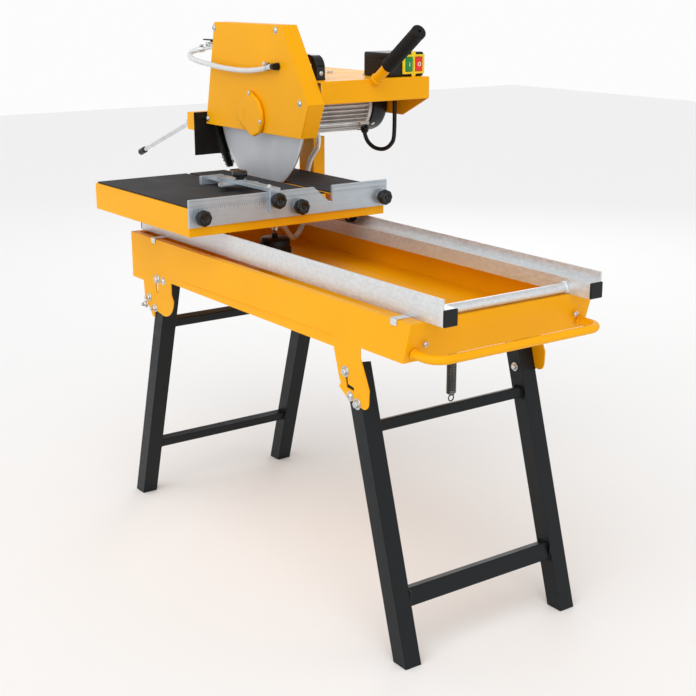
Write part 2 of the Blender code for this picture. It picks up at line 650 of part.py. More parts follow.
def knob_outline():
    """A star grip: lobes round a circle."""
    count = KNOB_LOBES * 4
    outline = []
    for i in range(count):
        angle = 2 * math.pi * i / count
        radius = KNOB_RADIUS * (1 - KNOB_WAVE + KNOB_WAVE * math.cos(KNOB_LOBES * angle))
        outline.append((radius * math.cos(angle), radius * math.sin(angle)))
    return outline


def make_knob(name, place, direction):
    """A star knob with a stem, standing on a face at place and pointing along direction."""
    knob = plate(name, [knob_outline()], "z", KNOB_STEM, KNOB_STEM + KNOB_THICK, "black_plastic")
    stem = rod(name + "_stem", (0, 0, 0), (0, 0, KNOB_STEM + KNOB_THICK / 2), KNOB_RADIUS * KNOB_STEM_SHARE,
               sides=20)
    soften(weld(knob, stem), KNOB_EDGE, 1, 60)
    turn = Vector(direction).to_track_quat("Z", "Y").to_matrix().to_4x4()
    stand = Matrix.Translation(Vector(place) + Vector(direction) * GAP) @ turn
    for piece in (knob, stem):
        piece.matrix_world = stand @ Matrix.Translation(piece.location)
    return pivot(name + "_axis", place, knob)


def make_mitre_gauge():
    face = fence_face() + GAP
    near, far = MITRE_Y - MITRE_WIDTH / 2, MITRE_Y + MITRE_WIDTH / 2
    bar = plate("mitre_bar", [[
        (face, MITRE_JAW_LOW), (face + MITRE_JAW, MITRE_JAW_LOW), (face + MITRE_JAW, MITRE_HIGH),
        (face - MITRE_REACH, MITRE_HIGH), (face - MITRE_REACH, MITRE_LOW), (face, MITRE_LOW),
    ]], "y", near, far, "aluminium")
    slot = box("mitre_slot_cutter", (MITRE_PIVOT_X + KNOB_RADIUS, MITRE_Y - MITRE_WIDTH / 8, MITRE_LOW - SHEET),
               (face - MITRE_WIDTH, MITRE_Y + MITRE_WIDTH / 8, MITRE_HIGH + SHEET))
    cut(bar, slot)
    clamp = make_knob("mitre_clamp_knob", (face + MITRE_JAW, MITRE_Y, MITRE_KNOB_Z), (1, 0, 0))
    top = MITRE_LOW - GAP
    disc = arc((MITRE_PIVOT_X, MITRE_Y), MITRE_PLATE_RADIUS, 90, 270, 16)
    head = plate("mitre_head", [disc], "z", top - MITRE_PLATE_THICK, top, "aluminium")
    half = MITRE_STOP_LENGTH / 2
    base = TABLE_TOP + GAP + MAT_THICK + GAP
    weld(head, box("mitre_stem", (MITRE_STOP_X, MITRE_Y - MITRE_WIDTH / 2, top - MITRE_PLATE_THICK),
                   (MITRE_PIVOT_X, MITRE_Y + MITRE_WIDTH / 2, top)),
         box("mitre_stop", (MITRE_STOP_X - MITRE_STOP_THICK, MITRE_Y - half, base),
             (MITRE_STOP_X, MITRE_Y + half, top + MITRE_PLATE_THICK)))
    knob = make_knob("mitre_lock_knob", (MITRE_PIVOT_X, MITRE_Y, MITRE_HIGH), (0, 0, 1))
    swivel = pivot("mitre_swivel", (MITRE_PIVOT_X, MITRE_Y, MITRE_LOW), head)
    return [bar, clamp, swivel, knob]


def make_table_group():
    pieces = [make_table(), make_fence(), *make_mats(), *make_rollers()]
    pieces += [make_knob(f"fence_knob_{word}", (fence_face(), y, FENCE_KNOB_Z), (1, 0, 0))
               for word, y in FENCE_KNOBS]
    gauge = pivot("mitre_slide", (fence_face(), MITRE_Y, FENCE_HIGH), *make_mitre_gauge())
    pivot("table_slide", ((TABLE_REAR + TABLE_FRONT) / 2, 0, rail_top()), *pieces, gauge)


# --- column and hinge -------------------------------------------------------------------------------
def make_column():
    rear = COLUMN_FRONT - COLUMN_DEPTH
    far = COLUMN_NEAR + COLUMN_WIDTH
    hinge_low, hinge_high = HINGE_Z - HINGE_HEIGHT / 2, HINGE_Z + HINGE_HEIGHT / 2
    hinge_rear, hinge_front = HINGE_X - HINGE_WIDTH / 2, HINGE_X + HINGE_WIDTH / 2
    arm_low = COLUMN_TOP - COLUMN_ARM_DEPTH
    column = plate("column", [[
        (rear, COLUMN_LOW), (COLUMN_FRONT, COLUMN_LOW), (COLUMN_FRONT, COLUMN_TOP), (hinge_front, COLUMN_TOP),
        (hinge_front, hinge_high), (hinge_rear, hinge_high), (hinge_rear, arm_low), (rear, arm_low),
    ]], "y", COLUMN_NEAR, far, "yellow_paint")
    middle = (rear + COLUMN_FRONT) / 2
    wall = TRAY_HALF_WIDTH + GAP
    foot = box("column_foot", (middle - COLUMN_PLATE_LENGTH / 2, wall, COLUMN_LOW),
               (middle + COLUMN_PLATE_LENGTH / 2, wall + COLUMN_PLATE_THICK, COLUMN_LOW + COLUMN_PLATE_HEIGHT))
    spacer = box("column_spacer", (rear, wall, COLUMN_LOW),
                 (COLUMN_FRONT, COLUMN_NEAR + SHEET, COLUMN_LOW + COLUMN_PLATE_HEIGHT))
    sleeve_far = max(HINGE_FAR, far)
    sleeve = box("hinge_sleeve", (hinge_rear, HINGE_SPLIT + GAP, hinge_low), (hinge_front, sleeve_far, hinge_high))
    bore = rod("sleeve_bore", (HINGE_X, HINGE_SPLIT - SHEET, HINGE_Z), (HINGE_X, sleeve_far + SHEET, HINGE_Z),
               PIVOT_RADIUS + PIVOT_FIT)
    return cut(weld(column, foot, spacer, sleeve), bore)


def make_head_arm():
    low, high = HINGE_Z - HINGE_HEIGHT / 2, HINGE_Z + HINGE_HEIGHT / 2
    rear, front = HINGE_X - HINGE_WIDTH / 2, HINGE_X + HINGE_WIDTH / 2
    beam = box("head_arm", (rear, HINGE_NEAR, low), (front, HINGE_SPLIT, high), "yellow_paint")
    tip = HOOD_REAR - GAP
    middle = (HOOD_DEEP + HOOD_TOP) / 2
    arm = plate("head_arm_web", [[
        (rear, low), (front, low), (tip, middle - ARM_DEPTH / 2),
        (tip, middle + ARM_DEPTH / 2), (front, high), (rear, high),
    ]], "y", ARM_NEAR, ARM_NEAR + ARM_WIDTH)
    bore = rod("arm_bore", (HINGE_X, PIVOT_START, HINGE_Z), (HINGE_X, HINGE_SPLIT + SHEET, HINGE_Z),
               PIVOT_RADIUS + PIVOT_FIT)
    return cut(weld(beam, arm), bore)


def make_pivot_shaft():
    return rod("pivot_shaft", (HINGE_X, PIVOT_START + GAP, HINGE_Z), (HINGE_X, PIVOT_END, HINGE_Z),
               PIVOT_RADIUS, "steel")


def make_clamp_lever():
    face = HINGE_X - HINGE_WIDTH / 2 - GAP
    start = Vector((face - CLAMP_HUB / 2, CLAMP_Y, CLAMP_Z))
    along = Vector((-math.cos(CLAMP_SLOPE), 0, -math.sin(CLAMP_SLOPE)))
    tip = start + along * CLAMP_ROD
    hub = rod("clamp_rod", (face - CLAMP_HUB, CLAMP_Y, CLAMP_Z), (face, CLAMP_Y, CLAMP_Z), CLAMP_HUB_RADIUS,
              "steel", sides=6)
    weld(hub, rod("clamp_rod_bar", start, tip, CLAMP_ROD_RADIUS, sides=16))
    knob_start = tip + along * GAP
    knob = rod("clamp_knob", knob_start, knob_start + along * CLAMP_KNOB, CLAMP_KNOB_RADIUS, "black_plastic",
               sides=16)
    return pivot("clamp_axis", (face, CLAMP_Y, CLAMP_Z), hub, soften(knob, 0.002))


# --- head -------------------------------------------------------------------------------------------
def make_guard():
    outline = list(GUARD_OUTLINE)
    shell_near = GUARD_NEAR + GUARD_SHEET + GAP
    guard = plate("guard", [outline], "y", shell_near, GUARD_FAR, "yellow_paint")
    inner = inset(outline, GUARD_SHEET)
    drop = 2 * GUARD_SHEET
    inner[0] = (inner[0][0] - drop * 0.2, inner[0][1] - drop)
    inner[1] = (inner[1][0] - drop * 0.4, inner[1][1] - drop)
    hollow = plate("guard_cutter", [inner], "y", shell_near - SHEET, GUARD_FAR - GUARD_SHEET)
    bore = rod("guard_bore", (ARBOR_X, BLADE_Y, ARBOR_Z), (ARBOR_X, GUARD_FAR + SHEET, ARBOR_Z), GUARD_BORE)
    cut(guard, hollow, bore)
    cover = plate("guard_cover", [outline], "y", GUARD_NEAR, GUARD_NEAR + GUARD_SHEET, "yellow_paint")
    hub = plate("hub_cover", [HUB_OUTLINE], "y", GUARD_NEAR - GAP - HUB_THICK, GUARD_NEAR - GAP, "yellow_paint")
    return [guard, cover, soften(hub, HUB_EDGE, 2, 80)]


def make_hood():
    hood = plate("hood", [[
        (HOOD_REAR, HOOD_DEEP), (HOOD_DEEP_X, HOOD_DEEP), (HOOD_FRONT, HOOD_FLANGE),
        (HOOD_FRONT, HOOD_TOP), (HOOD_REAR, HOOD_TOP),
    ]], "y", HOOD_NEAR, HOOD_FAR, "yellow_paint")
    hollow = box("hood_cutter", (HOOD_REAR + HOOD_SHEET, HOOD_NEAR - HOOD_SHEET, HOOD_DEEP - HOOD_SHEET),
                 (HOOD_FRONT - HOOD_SHEET, HOOD_FAR - HOOD_SHEET, HOOD_TOP - HOOD_SHEET))
    notch = box("hose_notch", (HOSE_NOTCH_X - HOSE_NOTCH / 2, HOOD_NEAR - SHEET, HOOD_TOP - 2 * HOOD_SHEET),
                (HOSE_NOTCH_X + HOSE_NOTCH / 2, HOOD_NEAR + HOSE_NOTCH, HOOD_TOP + HOOD_SHEET))
    return cut(hood, hollow, notch)


def fin_outline():
    """The motor's cross section: a round body with square fins."""
    outline = []
    step = 2 * math.pi / MOTOR_FINS
    for i in range(MOTOR_FINS):
        for share, radius in ((-0.28, MOTOR_RADIUS - MOTOR_FIN), (-0.2, MOTOR_RADIUS), (0.2, MOTOR_RADIUS),
                              (0.28, MOTOR_RADIUS - MOTOR_FIN)):
            angle = step * (i + share)
            outline.append((ARBOR_X + radius * math.cos(angle), ARBOR_Z + radius * math.sin(angle)))
    return outline


def make_motor():
    body = plate("motor_body", [fin_outline()], "y", MOTOR_NEAR, MOTOR_FAR, "aluminium")
    bore = rod("motor_bore", (ARBOR_X, MOTOR_NEAR + MOTOR_END_WALL, ARBOR_Z), (ARBOR_X, MOTOR_FAR + SHEET, ARBOR_Z),
               MOTOR_BORE)
    shaft_hole = rod("motor_shaft_hole", (ARBOR_X, MOTOR_NEAR - SHEET, ARBOR_Z),
                     (ARBOR_X, MOTOR_NEAR + 2 * MOTOR_END_WALL, ARBOR_Z), SHAFT_RADIUS + 2 * GAP)
    cut(body, bore, shaft_hole)
    length, wall, radius = FAN_COVER_FAR - MOTOR_FAR - GAP, FAN_COVER_WALL, FAN_COVER_RADIUS
    shoulder, edge = length * FAN_COVER_SHOULDER, FAN_COVER_EDGE
    cover = turned("fan_cover", [
        (radius, 0), (radius, shoulder), (radius - edge, length - 2 * wall), (radius - 2 * edge, length),
        (0, length), (0, length - wall), (radius - 2 * edge - wall / 2, length - wall),
        (radius - edge - wall, length - 3 * wall), (radius - wall, shoulder), (radius - wall, 0),
    ], (ARBOR_X, MOTOR_FAR + GAP, ARBOR_Z), (0, 1, 0), "black_plastic")
    return [body, cover]


def make_blade_group():
    half = BLADE_THICK / 2
    back = BLADE_Y + half + GAP
    rotor_start, rotor_end = MOTOR_NEAR + MOTOR_END_WALL + ROTOR_CLEAR, MOTOR_FAR - ROTOR_CLEAR
    fan_start = MOTOR_FAR + FAN_CLEAR
    fan_end = fan_start + FAN_THICK
    stations = [
        (0, ARBOR_END), (SHAFT_RADIUS, ARBOR_END), (SHAFT_RADIUS, back), (COLLAR_RADIUS, back),
        (COLLAR_RADIUS, back + COLLAR_THICK), (SHAFT_RADIUS, back + COLLAR_THICK), (SHAFT_RADIUS, rotor_start),
        (ROTOR_RADIUS, rotor_start), (ROTOR_RADIUS, rotor_end), (SHAFT_RADIUS, rotor_end),
        (SHAFT_RADIUS, fan_start), (FAN_RADIUS, fan_start), (FAN_RADIUS, fan_end), (0, fan_end),
    ]
    shaft = turned("motor_shaft", stations, (ARBOR_X, 0, ARBOR_Z), (0, 1, 0), "steel")
    bore = SHAFT_RADIUS + GAP
    blade = turned("blade", [(bore, -half), (BLADE_RADIUS, -half), (BLADE_RADIUS, half), (bore, half)],
                   (ARBOR_X, BLADE_Y, ARBOR_Z), (0, 1, 0), "steel", 96)
    front = BLADE_Y - half - GAP
    flange_face = front - COLLAR_THICK
    nut_face = ARBOR_END + 2 * GAP
    flange = turned("blade_flange", [
        (bore, nut_face), (NUT_RADIUS, nut_face), (NUT_RADIUS, flange_face), (COLLAR_RADIUS, flange_face),
        (COLLAR_RADIUS, front), (bore, front),
    ], (ARBOR_X, 0, ARBOR_Z), (0, 1, 0), "steel")
    return pivot("blade_axis", (ARBOR_X, BLADE_Y, ARBOR_Z), shaft, blade, flange)


def make_lever():
    along = Vector((math.cos(LEVER_SLOPE), 0, math.sin(LEVER_SLOPE)))
    start = Vector((LEVER_START_X, LEVER_Y, LEVER_START_Z))
    tube = rod("lever_tube", start, start + along * LEVER_LENGTH, LEVER_RADIUS, "yellow_paint", sides=24)
    reach = 4 * LEVER_RADIUS
    cut(tube, box("lever_cutter", (HOOD_FRONT - reach, LEVER_Y - reach, HOOD_TOP - 2 * reach),
                  (HOOD_FRONT + GAP, LEVER_Y + reach, HOOD_TOP + GAP)))
    bore, depth = LEVER_RADIUS + GRIP_FIT, LEVER_LENGTH + GRIP_FIT - GRIP_START
    length, hole, edge = GRIP_END - GRIP_START, GRIP_HOLE, GRIP_EDGE
    floor = depth + 2 * edge
    grip = turned("grip", [
        (bore, 0), (GRIP_RADIUS - edge / 3, 0), (GRIP_RADIUS, edge / 3), (GRIP_RADIUS, length - edge),
        (GRIP_RADIUS - edge, length), (hole, length), (hole, floor), (0, floor), (0, depth), (bore, depth),
    ], start + along * GRIP_START, along, "black_rubber", 32)
    return [tube, grip]


def make_carry_handle():
    base = HOOD_TOP + GAP
    bend, inner_bend = CARRY_THICK * 1.4, CARRY_THICK * 0.5
    outer = [(CARRY_FRONT, base), *arc((CARRY_FRONT - bend, CARRY_TOP - bend), bend, 0, 90, 6),
             *arc((CARRY_REAR + bend, CARRY_TOP - bend), bend, 90, 180, 6), (CARRY_REAR, base)]
    low, high = CARRY_REAR + CARRY_THICK, CARRY_FRONT - CARRY_THICK
    roof = CARRY_TOP - CARRY_THICK * 0.8
    inner = [(low, base), *arc((low + inner_bend, roof - inner_bend), inner_bend, 180, 90, 4),
             *arc((high - inner_bend, roof - inner_bend), inner_bend, 90, 0, 4), (high, base)]
    handle = plate("carry_handle", [outer + inner], "y", CARRY_NEAR, CARRY_NEAR + CARRY_WIDTH, "black_plastic")
    return soften(handle, 0.003, 2, 60)


def make_switch():
    base = HOOD_TOP + GAP
    case = box("switch_box", (BOX_REAR, BOX_NEAR, base), (BOX_FRONT, BOX_FAR, base + BOX_HIGH), "black_plastic")
    soften(case, 0.004)
    face = BOX_FRONT + GAP
    panel = box("switch_plate", (face, PLATE_NEAR, PLATE_LOW), (face + PLATE_THICK, PLATE_FAR, PLATE_HIGH),
                "yellow_plastic")
    middle = (PLATE_LOW + PLATE_HIGH) / 2
    front = face + PLATE_THICK + BUTTON_PROUD
    buttons = []
    for (name, y), paint in zip(BUTTONS, ("green_plastic", "red_plastic")):
        low = Vector((front - BUTTON_THICK, y - BUTTON_WIDTH / 2, middle - BUTTON_HEIGHT / 2))
        high = Vector((front, y + BUTTON_WIDTH / 2, middle + BUTTON_HEIGHT / 2))
        fit = Vector((0, BUTTON_FIT, BUTTON_FIT))
        pocket = Vector((BUTTON_POCKET, 0, 0))
        cut(case, box(name + "_pocket", low - fit - pocket, high + fit))
        cut(panel, box(name + "_window", low - fit, high + fit + pocket))
        buttons.append(pivot(name + "_axis", (front, y, middle), box(name, low, high, paint)))
    return [case, panel, *buttons]


def make_brush():
    inner, outer = BLADE_RADIUS + BRUSH_GAP, BLADE_RADIUS + BRUSH_GAP + BRUSH_THICK
    first, last = math.degrees(BRUSH_START), math.degrees(BRUSH_END)
    outline = arc((ARBOR_X, ARBOR_Z), inner, first, last, 8) + arc((ARBOR_X, ARBOR_Z), outer, last, first, 8)
    return plate("brush", [outline], "y", BLADE_Y - BRUSH_HALF_WIDTH, BLADE_Y + BRUSH_HALF_WIDTH, "black_rubber")


def make_water():
    rear_low, rear_high = Vector(GUARD_OUTLINE[0]), Vector(GUARD_OUTLINE[-1])
    share = (TAP_Z - TAP_RADIUS - rear_low.y) / (rear_high.y - rear_low.y)
    wall = rear_low.x + (rear_high.x - rear_low.x) * share - GAP
    tap = rod("water_tap", (wall - TAP_LENGTH, BLADE_Y, TAP_Z), (wall, BLADE_Y, TAP_Z), TAP_RADIUS, "steel",
              sides=20)
    seat = (wall - TAP_SEAT, BLADE_Y, TAP_Z + TAP_RADIUS)
    weld(tap, rod("tap_boss", (seat[0], BLADE_Y, TAP_Z), seat, TAP_STEM_RADIUS * 1.6, sides=16))
    stem_top = seat[2] + GAP + TAP_STEM
    lever = box("tap_lever", (seat[0] - TAP_LEVER_LENGTH, BLADE_Y - TAP_LEVER_WIDTH / 2, stem_top - SHEET),
                (seat[0] + TAP_LEVER_WIDTH / 2, BLADE_Y + TAP_LEVER_WIDTH / 2, stem_top + TAP_LEVER_THICK - SHEET),
                "black_plastic")
    weld(lever, rod("tap_stem", (seat[0], BLADE_Y, seat[2] + GAP), (seat[0], BLADE_Y, stem_top), TAP_STEM_RADIUS,
                    sides=12))
    low, high = BLADE_Y - CURTAIN_HALF_WIDTH, BLADE_Y + CURTAIN_HALF_WIDTH
    curtain = box("splash_curtain", (CURTAIN_X - CURTAIN_THICK, low, CURTAIN_LOW), (CURTAIN_X, high, CURTAIN_HIGH),
                  "black_rubber")
    spray = cord("spray_hose", smooth_route(SPRAY_HOSE), HOSE_RADIUS, "clear_hose")
    head = cord("head_hose", smooth_route(HEAD_HOSE), HOSE_RADIUS, "clear_hose")
    return [tap, pivot("tap_axis", seat, lever), curtain, spray, head]


def make_pump():
    floor = TRAY_FLOOR + GAP
    pump = rod("pump", (PUMP_X, PUMP_Y, floor), (PUMP_X, PUMP_Y, floor + PUMP_HIGH), PUMP_RADIUS, "black_plastic",
               sides=24)
    weld(pump, rod("pump_spout", (PUMP_X, PUMP_Y, floor + PUMP_HIGH / 2),
                   (PUMP_X, PUMP_Y, floor + PUMP_HIGH + PUMP_SPOUT), HOSE_RADIUS * 1.3, sides=16))
    cord("feed_hose", smooth_route(FEED_HOSE), HOSE_RADIUS, "clear_hose")


def make_head():
    pieces = [make_head_arm(), make_pivot_shaft(), make_hood(), *make_guard(), *make_motor(), make_blade_group(),
              *make_lever(), make_carry_handle(), *make_switch(), make_brush(), *make_water(),
              make_clamp_lever(), cord("motor_lead", smooth_route(MOTOR_LEAD), LEAD_RADIUS, "black_rubber")]
    pivot("head_pivot", (HINGE_X, HINGE_SPLIT, HINGE_Z), *pieces)


# --- the whole machine --------------------------------------------------------------------------------
def centre_on_floor():
    """Moves the machine so that the middle of its base is at the world's origin."""
    bpy.context.view_layer.update()
    graph = bpy.context.evaluated_depsgraph_get()
    corners = []
    for obj in bpy.data.collections["tile_cutter"].objects:
        if obj.type == "EMPTY":
            continue
        evaluated = obj.evaluated_get(graph)
        mesh = evaluated.to_mesh()
        corners += [obj.matrix_world @ vertex.co for vertex in mesh.vertices]
        evaluated.to_mesh_clear()
    low = Vector([min(corner[i] for corner in corners) for i in range(3)])
    high = Vector([max(corner[i] for corner in corners) for i in range(3)])
    shift = Vector((-(low.x + high.x) / 2, -(low.y + high.y) / 2, -low.z))
    for obj in bpy.data.objects:
        if obj.parent is None:
            obj.location += shift
    return shift


def main():
    clear_scene()
    new_collection("tile_cutter")
    new_collection("cutters", hidden=True)
    make_paints()
    make_tray()
    make_rail("rail_near", -1)
    make_rail("rail_far", 1)
    make_cross_tube()
    make_bumper()
    make_legs()
    make_table_group()
    make_column()
    make_pump()
    make_head()
    centre_on_floor()


main()
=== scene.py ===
"""Tile cutter: the finished surfaces, laid over the machine's solids.

Metres, +Z up. X runs along the tray toward its bumper, Y across it toward the column.
"""
import json
import math
import random

import bmesh
import bpy
from mathutils import Matrix, Vector

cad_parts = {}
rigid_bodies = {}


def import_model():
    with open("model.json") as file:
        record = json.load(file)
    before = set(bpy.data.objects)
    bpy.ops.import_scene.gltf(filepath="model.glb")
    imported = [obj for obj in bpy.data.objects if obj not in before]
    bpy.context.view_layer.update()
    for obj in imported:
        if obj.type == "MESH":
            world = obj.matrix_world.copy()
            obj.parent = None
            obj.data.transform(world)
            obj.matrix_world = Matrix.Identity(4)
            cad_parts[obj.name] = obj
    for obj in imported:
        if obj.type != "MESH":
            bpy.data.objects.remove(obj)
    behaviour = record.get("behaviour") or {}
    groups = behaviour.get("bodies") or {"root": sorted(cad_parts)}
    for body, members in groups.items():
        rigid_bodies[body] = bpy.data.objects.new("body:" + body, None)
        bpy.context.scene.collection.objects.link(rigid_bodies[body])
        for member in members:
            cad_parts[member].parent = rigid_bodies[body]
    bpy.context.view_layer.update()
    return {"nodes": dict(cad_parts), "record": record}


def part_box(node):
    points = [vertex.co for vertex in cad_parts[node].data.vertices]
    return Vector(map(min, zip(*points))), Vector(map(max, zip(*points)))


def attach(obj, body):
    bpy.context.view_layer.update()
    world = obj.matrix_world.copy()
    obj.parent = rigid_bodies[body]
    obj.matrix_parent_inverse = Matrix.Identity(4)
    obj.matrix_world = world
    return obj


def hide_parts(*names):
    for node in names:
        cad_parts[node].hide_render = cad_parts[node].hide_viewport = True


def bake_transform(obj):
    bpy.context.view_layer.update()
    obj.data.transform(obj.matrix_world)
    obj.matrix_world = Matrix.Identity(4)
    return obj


bl_info = {
    "name": "Tile Cutter",
    "version": (1, 0, 0),
    "blender": (4, 5, 0),
    "location": "View3D > Sidebar > Tile Cutter",
    "description": "Builds the finished surfaces of a wet tile saw on folding legs",
    "category": "Add Mesh",
}

for startup_object in list(bpy.data.objects):
    bpy.data.objects.remove(startup_object)
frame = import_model()
BODY_OF = {node: body for body, nodes in frame["record"]["behaviour"]["bodies"].items() for node in nodes}

# Places are measured from a point on the floor under the tray, this far behind the tray's middle.
HOME_BEHIND_MIDDLE = 0.011
TRAY_LOW, TRAY_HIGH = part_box("tray")
HOME = Vector(((TRAY_LOW.x + TRAY_HIGH.x) / 2 - HOME_BEHIND_MIDDLE, (TRAY_LOW.y + TRAY_HIGH.y) / 2, 0))
NEAR, FAR, FRONT, REAR, UP, DOWN = ((0, -1, 0), (0, 1, 0), (1, 0, 0), (-1, 0, 0), (0, 0, 1), (0, 0, -1))

SPRAY_HOSE = (
    (-0.5890, 0.0480, 1.0080), (-0.5990, 0.0380, 1.0060), (-0.6090, 0.0260, 1.0010),
    (-0.6030, 0.0170, 0.9930),
    (-0.5800, 0.0160, 0.9850), (-0.5300, 0.0220, 0.9780), (-0.4600, 0.0265, 0.9720),
    (-0.3800, 0.0280, 0.9710),
    (-0.3200, 0.0280, 0.9760), (-0.2680, 0.0280, 0.9850),
)
FEED_HOSE = (
    (-0.5800, 0.0790, 1.0140), (-0.5500, 0.0900, 1.0100), (-0.4900, 0.0900, 0.9980),
    (-0.4100, 0.0900, 0.9880),
    (-0.3200, 0.0900, 0.9860), (-0.2720, 0.0900, 0.9830), (-0.2500, 0.0900, 0.9680),
    (-0.2450, 0.0905, 0.9400),
    (-0.2550, 0.1050, 0.9000), (-0.2750, 0.1350, 0.8600), (-0.3050, 0.1700, 0.8250),
    (-0.3504, 0.2003, 0.8028),
    (-0.3740, 0.2145, 0.7900), (-0.4020, 0.2150, 0.7600), (-0.4150, 0.2145, 0.7200),
    (-0.4080, 0.2145, 0.6800),
    (-0.3950, 0.2020, 0.6480), (-0.3800, 0.1750, 0.6130), (-0.3550, 0.1400, 0.5950),
    (-0.3200, 0.1050, 0.6050),
    (-0.2900, 0.0650, 0.6360), (-0.2740, 0.0380, 0.6440), (-0.2700, 0.0300, 0.6330),
)
MOTOR_LEAD = (
    (-0.3280, 0.3160, 0.8335), (-0.3285, 0.3175, 0.8180), (-0.3215, 0.3220, 0.8010),
    (-0.3060, 0.3300, 0.7890),
    (-0.2850, 0.3395, 0.7880), (-0.2680, 0.3465, 0.8000), (-0.2605, 0.3495, 0.8230),
    (-0.2600, 0.3500, 0.9000),
    (-0.2600, 0.3500, 0.9535),
)


# --- colour and materials -------------------------------------------------------------------------
def linear(code):
    """A colour written in sRGB hex, as the linear values that shaders take."""
    shares = [int(code[i:i + 2], 16) / 255 for i in (1, 3, 5)]
    return [share / 12.92 if share <= 0.04045 else ((share + 0.055) / 1.055) ** 2.4 for share in shares]


def shade(colour, factor):
    return (*[channel * factor for channel in colour], 1.0)


def add(tree, kind, inputs=None, **settings):
    """Adds a node, makes its settings, and sets or links its inputs."""
    made = tree.nodes.new("ShaderNode" + kind)
    for name, value in settings.items():
        setattr(made, name, value)
    for name, value in (inputs or {}).items():
        if isinstance(value, bpy.types.NodeSocket):
            tree.links.new(value, made.inputs[name])
        else:
            made.inputs[name].default_value = value
    return made


def per_metre(size_mm, stretch=(1, 1, 1)):
    """The scale of a pattern whose marks are this many millimetres across."""
    return [1000 / size_mm * share for share in stretch]


def new_material(name, slot, metallic=0.0, **fixed):
    material = bpy.data.materials.new(name)
    material.use_nodes = True
    material["slot"] = slot
    tree = material.node_tree
    shader = tree.nodes["Principled BSDF"]
    shader.inputs["Metallic"].default_value = metallic
    for socket, value in fixed.items():
        shader.inputs[socket.replace("_", " ")].default_value = value
    return tree, shader, add(tree, "TexCoord").outputs["Object"]


def marks(tree, place, size_mm, stretch=(1, 1, 1), detail=3.0):
    """A cloudy pattern from 0 to 1 whose marks are size_mm across, longer where stretch is small."""
    sized = add(tree, "Mapping", {"Vector": place, "Scale": per_metre(size_mm, stretch)}).outputs["Vector"]
    return add(tree, "TexNoise", {"Vector": sized, "Scale": 1.0, "Detail": detail}).outputs["Fac"]


def between(tree, pattern, dark, light, low=0.3, high=0.7):
    """Spreads a pattern over the values, or colours, from dark to light."""
    share = add(tree, "MapRange", {"Value": pattern, "From Min": low, "From Max": high}).outputs["Result"]
    if isinstance(dark, (int, float)):
        return add(tree, "MapRange", {"Value": share, "To Min": dark, "To Max": light}).outputs["Result"]
    mix = add(tree, "Mix", data_type="RGBA")
    tree.links.new(share, mix.inputs[0])
    mix.inputs[6].default_value, mix.inputs[7].default_value = dark, light
    return mix.outputs[2]


def relief(tree, shader, pattern, depth_mm, strength=0.4):
    bump = add(tree, "Bump", {"Height": pattern, "Distance": depth_mm / 1000, "Strength": strength})
    tree.links.new(bump.outputs["Normal"], shader.inputs["Normal"])


def finish_with(tree, shader, colour, roughness):
    tree.links.new(colour, shader.inputs["Base Color"])
    tree.links.new(roughness, shader.inputs["Roughness"])


def powder_coat(name, slot, colour, rough_low, rough_high, texture, gloss):
    """Powder coat baked on steel: an even, glossy film with fine orange peel that drifts a little in tone."""
    tree, shader, place = new_material(name, slot, IOR=1.5, Specular_IOR_Level=gloss)
    drift = marks(tree, place, 180, detail=1.0)
    peel = marks(tree, place, 2.6, detail=1.5)
    dust = marks(tree, place, 45, (1, 1, 2.5), 5.0)
    finish_with(tree, shader, between(tree, drift, shade(colour, 0.955), shade(colour, 1.03)),
                between(tree, dust, rough_low, rough_high))
    relief(tree, shader, peel, texture, 0.25)


def galvanised(name, slot, colour):
    """Hot-dip galvanised steel: zinc crystals 4 mm across, each its own grey, under long rolling marks."""
    tree, shader, place = new_material(name, slot, metallic=0.62)
    sized = add(tree, "Mapping", {"Vector": place, "Scale": per_metre(4, (0.6, 1, 1))}).outputs["Vector"]
    crystal = add(tree, "TexVoronoi", {"Vector": sized, "Scale": 1.0, "Randomness": 1.0}).outputs["Color"]
    tone = add(tree, "SeparateColor", {"Color": crystal}).outputs["Red"]
    streak = marks(tree, place, 5, (0.03, 1, 1), 3.0)
    mixed = add(tree, "Math", {0: tone, 1: streak}, operation="ADD").outputs["Value"]
    finish_with(tree, shader, between(tree, mixed, shade(colour, 0.90), shade(colour, 1.05), 0.3, 1.4),
                between(tree, tone, 0.30, 0.46, 0.0, 1.0))
    relief(tree, shader, streak, 0.15, 0.3)


def drawn_metal(name, slot, colour, along, rough_low, rough_high, line_mm=1.2):
    """Metal pulled through a die or brushed: fine lines along one way, about 1 mm apart so that they show."""
    tree, shader, place = new_material(name, slot, metallic=0.6)
    stretch = [0.012 if axis == along else 1 for axis in "xyz"]
    line = marks(tree, place, line_mm, stretch, 2.0)
    cloud = marks(tree, place, 30, detail=4.0)
    mixed = add(tree, "Math", {0: line, 1: cloud}, operation="ADD").outputs["Value"]
    finish_with(tree, shader, between(tree, mixed, shade(colour, 0.90), shade(colour, 1.05), 0.7, 1.3),
                between(tree, cloud, rough_low, rough_high))
    relief(tree, shader, line, 0.08, 0.3)


def grainy_metal(name, slot, colour, grain_mm, rough_low, rough_high, metallic=0.85):
    """Cast, plated, sintered or spring metal: a grainy skin whose tone drifts in soft clouds about 25 mm
    across.
    """
    tree, shader, place = new_material(name, slot, metallic=metallic)
    grain = marks(tree, place, grain_mm, detail=6.0)
    cloud = marks(tree, place, 25, detail=3.0)
    finish_with(tree, shader, between(tree, cloud, shade(colour, 0.85), shade(colour, 1.08)),
                between(tree, grain, rough_low, rough_high))
    relief(tree, shader, grain, 0.3, 0.45)


